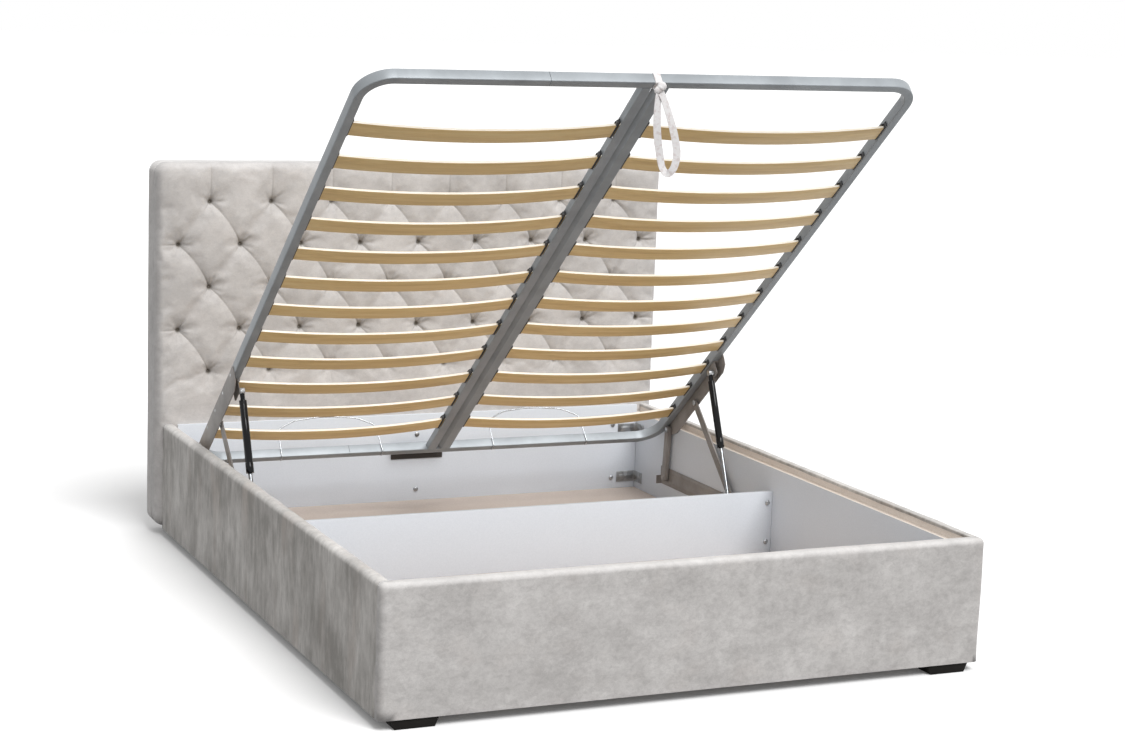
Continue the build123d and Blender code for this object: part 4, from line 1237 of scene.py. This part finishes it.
# %% [markdown]
# Each slat's end sits in a moulded cap of black plastic: a rim against the steel, lips above and below the
# slat, and a hooked tab on its foot side. Four boxes with rounded edges make one cap. They could be copies
# of one object, but a single mesh for all caps of a kind keeps the bed's list of pieces short.

# %% Slat holders
holder_foot_margin = 14 * mm
holder_head_margin = 5 * mm
holder_low = 1.4 * mm
holder_high = 17 * mm
holder_rim = 3 * mm
holder_cover = 9 * mm
holder_inset = 2 * mm
holder_tab = 11 * mm
holder_round = 0.7 * mm
rail_face = 38 * mm
tube_face = 775 * mm


def holder_row(node, face_x, inward, lip):
    """All holders of one kind. A box is its reach from the steel, its two ends and its two heights."""
    bm = bmesh.new()
    for index in range(slat_count):
        head = slat_head(index) - holder_head_margin
        foot = slat_head(index) + slat_width + holder_foot_margin
        tab = foot - holder_tab
        boxes = (
            (holder_rim, head, foot, holder_low + 3 * mm, holder_high),
            (holder_cover, head + holder_inset, tab, holder_high - 2.4 * mm, holder_high),
            (lip, head + holder_inset, tab, holder_low + 2.6 * mm, holder_low + 5.1 * mm),
            (lip, tab, foot - 1 * mm, holder_low + 2 * mm, holder_high - 3 * mm),
        )
        for side in (-1, 1):
            for reach, near_end, far_end, low, high in boxes:
                made = bmesh.ops.create_cube(bm, size=1)["verts"]
                bmesh.ops.scale(bm, vec=(reach, far_end - near_end, high - low), verts=made)
                centre_x = side * (face_x - inward * reach / 2)
                centre = (centre_x, -(near_end + far_end) / 2, (low + high) / 2)
                bmesh.ops.translate(bm, vec=centre, verts=made)
    round_off(bm, list(bm.edges), holder_round, 2)
    bmesh.ops.transform(bm, matrix=lifted, verts=bm.verts)
    keep_piece(bm, node + "_dressed", black_plastic, "slat_frame", [node])


holder_row("outer_slat_holders", tube_face, 1, 4 * mm)
holder_row("centre_slat_holders", rail_face, -1, 9 * mm)

# %% [markdown]
# ## Wire stops and the pull strap
# Wire and tape are one section carried along a path. A curve object with a bevel would do it too, but it
# turns a flat tape as it likes. Here the path is corner points with an arc at each bend, and a ring of
# points is set at each station, turned with the path, and bridged to the ring before.


# %% Paths and sections
def rounded_path(corners, radii, steps):
    """Points along a path whose corners are replaced by arcs."""
    points = [Vector(corners[0])]
    for before, corner, after, radius in zip(corners, corners[1:], corners[2:], radii):
        before, corner, after = Vector(before), Vector(corner), Vector(after)
        back = (before - corner).normalized()
        on = (after - corner).normalized()
        half_turn = back.angle(on) / 2
        reach = radius / math.tan(half_turn)
        centre = corner + (back + on).normalized() * (radius / math.sin(half_turn))
        start = corner + back * reach - centre
        stop = corner + on * reach - centre
        whole = start.angle(stop)
        for i in range(steps + 1):
            share = i / steps
            mixed = start * math.sin((1 - share) * whole) + stop * math.sin(share * whole)
            points.append(centre + mixed / math.sin(whole))
    points.append(Vector(corners[-1]))
    return points


def bridge(bm, rings):
    """Joins two rings of points with faces."""
    edges = []
    for ring in rings:
        for pair in zip(ring, ring[1:] + ring[:1]):
            edges.append(bm.edges.get(pair) or bm.edges.new(pair))
    bmesh.ops.bridge_loops(bm, edges=edges)


def carry(bm, section, points, outs, closed=False):
    """Carries a flat section of (across, out) pairs along points. outs says which way is out at each."""
    count = len(points)
    rings = []
    for i, point in enumerate(points):
        before = points[i - 1] if i > 0 or closed else point
        after = points[(i + 1) % count] if i < count - 1 or closed else point
        along = (after - before).normalized()
        across = along.cross(outs[i]).normalized()
        out = across.cross(along)
        rings.append([bm.verts.new(point + across * a + out * b) for a, b in section])
    for pair in zip(rings, rings[1:] + rings[:1] if closed else rings[1:]):
        bridge(bm, pair)
    if not closed:
        bm.faces.new(rings[0][::-1])
        bm.faces.new(rings[-1])
    bmesh.ops.recalc_face_normals(bm, faces=bm.faces)


print("path helpers ready")

# %% [markdown]
# A mattress stop is one bright wire. Its ends tuck under the head-end rail, it rises past two shoulders and
# runs over between them in a flat arch. One path is worked out, and the left stop mirrors its points.

# %% Wire stops
snug = 0.3 * mm
wire_radius = 2.2 * mm
wire_sides = 12
wire_out = Vector((0.31, 0.9, 0.3))
stop_span = 167 * mm
stop_centre = 358 * mm
stop_height = 134 * mm
stop_shoulder = 96 * mm
stop_slope = 62 * mm
stop_lean = 4 * mm
stop_tuck = 21 * mm
stop_bend = 7 * mm

low_x, high_x = stop_centre - stop_span, stop_centre + stop_span
level_z = -wire_radius - snug
level_y = -tube_width - wire_radius - snug
stop_corners = [
    (low_x, level_y + stop_tuck, level_z),
    (low_x, level_y, level_z),
    (low_x + stop_lean, level_y, stop_shoulder),
    (low_x + stop_slope, level_y, stop_height - 8 * mm),
    (stop_centre, level_y, stop_height + 3 * mm),
    (high_x - stop_slope, level_y, stop_height - 8 * mm),
    (high_x - stop_lean, level_y, stop_shoulder),
    (high_x, level_y, level_z),
    (high_x, level_y + stop_tuck, level_z),
]
stop_radii = [stop_bend, 26 * mm, 120 * mm, 420 * mm, 120 * mm, 26 * mm, stop_bend]
turns = [math.tau * i / wire_sides for i in range(wire_sides)]
circle = [(wire_radius * math.cos(turn), wire_radius * math.sin(turn)) for turn in turns]
for side, name in ((1, "right"), (-1, "left")):
    points = [Vector((side * p.x, p.y, p.z)) for p in rounded_path(stop_corners, stop_radii, 8)]
    bm = bmesh.new()
    carry(bm, circle, points, [wire_out] * len(points))
    bmesh.ops.transform(bm, matrix=lifted, verts=bm.verts)
    keep_piece(bm, name + "_wire_stop", bright_wire, "slat_frame", [name + "_mattress_stop"])

# %% [markdown]
# The pull strap is one tape: a ring snug round the foot-end rail, a knot under it and a loop to pull. The
# ring keeps its flat side to the steel, so out is simply away from the ring's middle.

# %% Strap's ring
strap_half = 10 * mm
strap_thick = 1.6 * mm
strap_y = foot_low.y - 7 * mm
strap_bend = 4 * mm

half_thick = strap_thick / 2
tape_section = [
    (-strap_half, -half_thick),
    (strap_half, -half_thick),
    (strap_half, half_thick),
    (-strap_half, half_thick),
]
ring_gap = half_thick + snug
foot_y, inner_y = -frame_length - ring_gap, -frame_length + tube_width + ring_gap
ring = [
    (0, foot_y, -ring_gap),
    (0, foot_y, tube_height + ring_gap),
    (0, inner_y, tube_height + ring_gap),
    (0, inner_y, -ring_gap),
]
ring_points = rounded_path(ring + ring[:2], [strap_bend] * 4, 4)[1:-2]
ring_points = [lifted @ point for point in ring_points]
ring_middle = sum(ring_points, Vector()) / len(ring_points)
ring_outs = [(point - ring_middle).normalized() for point in ring_points]
bm = bmesh.new()
carry(bm, tape_section, ring_points, ring_outs, closed=True)
print("ring of", len(ring_points), "stations")

# %% [markdown]
# The loop hangs as a narrow drop, leaning a little to one side and twisting on its way, as soft tape does.
# A rope simulation would give another shape each time its settings change, while a formula keeps its
# length.

# %% Strap's loop and knot
loop_steps = 44
loop_lean = 32 * mm
loop_half = 30 * mm
loop_sway = 5 * mm
loop_bottom = foot_low.z - 232 * mm
knot_z = foot_low.z - 14 * mm
loop_top = knot_z - 8 * mm
knot_turns = ((15, 10, 7, -3), (13, 12, 8, 5), (11, 9, 9, 1))

loop_points = []
for i in range(loop_steps):
    turn = math.pi * (2 * i / (loop_steps - 1) - 1)
    drop = (1 + math.cos(turn)) / 2
    wide = math.sin(turn) * (0.30 + 0.70 * drop**0.6)
    x = loop_lean * min(1.0, drop * 1.3) - wide * loop_half
    y = strap_y + loop_sway * math.sin(turn * 1.5) * drop
    loop_points.append(Vector((x, y, loop_top - drop * (loop_top - loop_bottom))))
twist = [Vector((0.25 * math.sin(i * 0.35), -1, 0.1)).normalized() for i in range(loop_steps)]
carry(bm, tape_section, loop_points, twist)
for index, (width, height, depth, shift) in enumerate(knot_turns):
    made = bmesh.ops.create_uvsphere(bm, u_segments=16, v_segments=10, radius=mm)["verts"]
    bmesh.ops.scale(bm, vec=(width, depth, height), verts=made)
    bmesh.ops.rotate(bm, cent=(0, 0, 0), matrix=Matrix.Rotation(0.5 * index - 0.5, 3, "Y"), verts=made)
    bmesh.ops.translate(bm, vec=(shift * mm, strap_y, knot_z + shift * mm), verts=made)
uv = bm.loops.layers.uv.new("UVMap")
for face in bm.faces:
    for loop in face.loops:
        loop[uv].uv = (loop.vert.co.x + loop.vert.co.y, loop.vert.co.z)
keep_piece(bm, "strap_tape", tape, "slat_frame", ["pull_strap"])
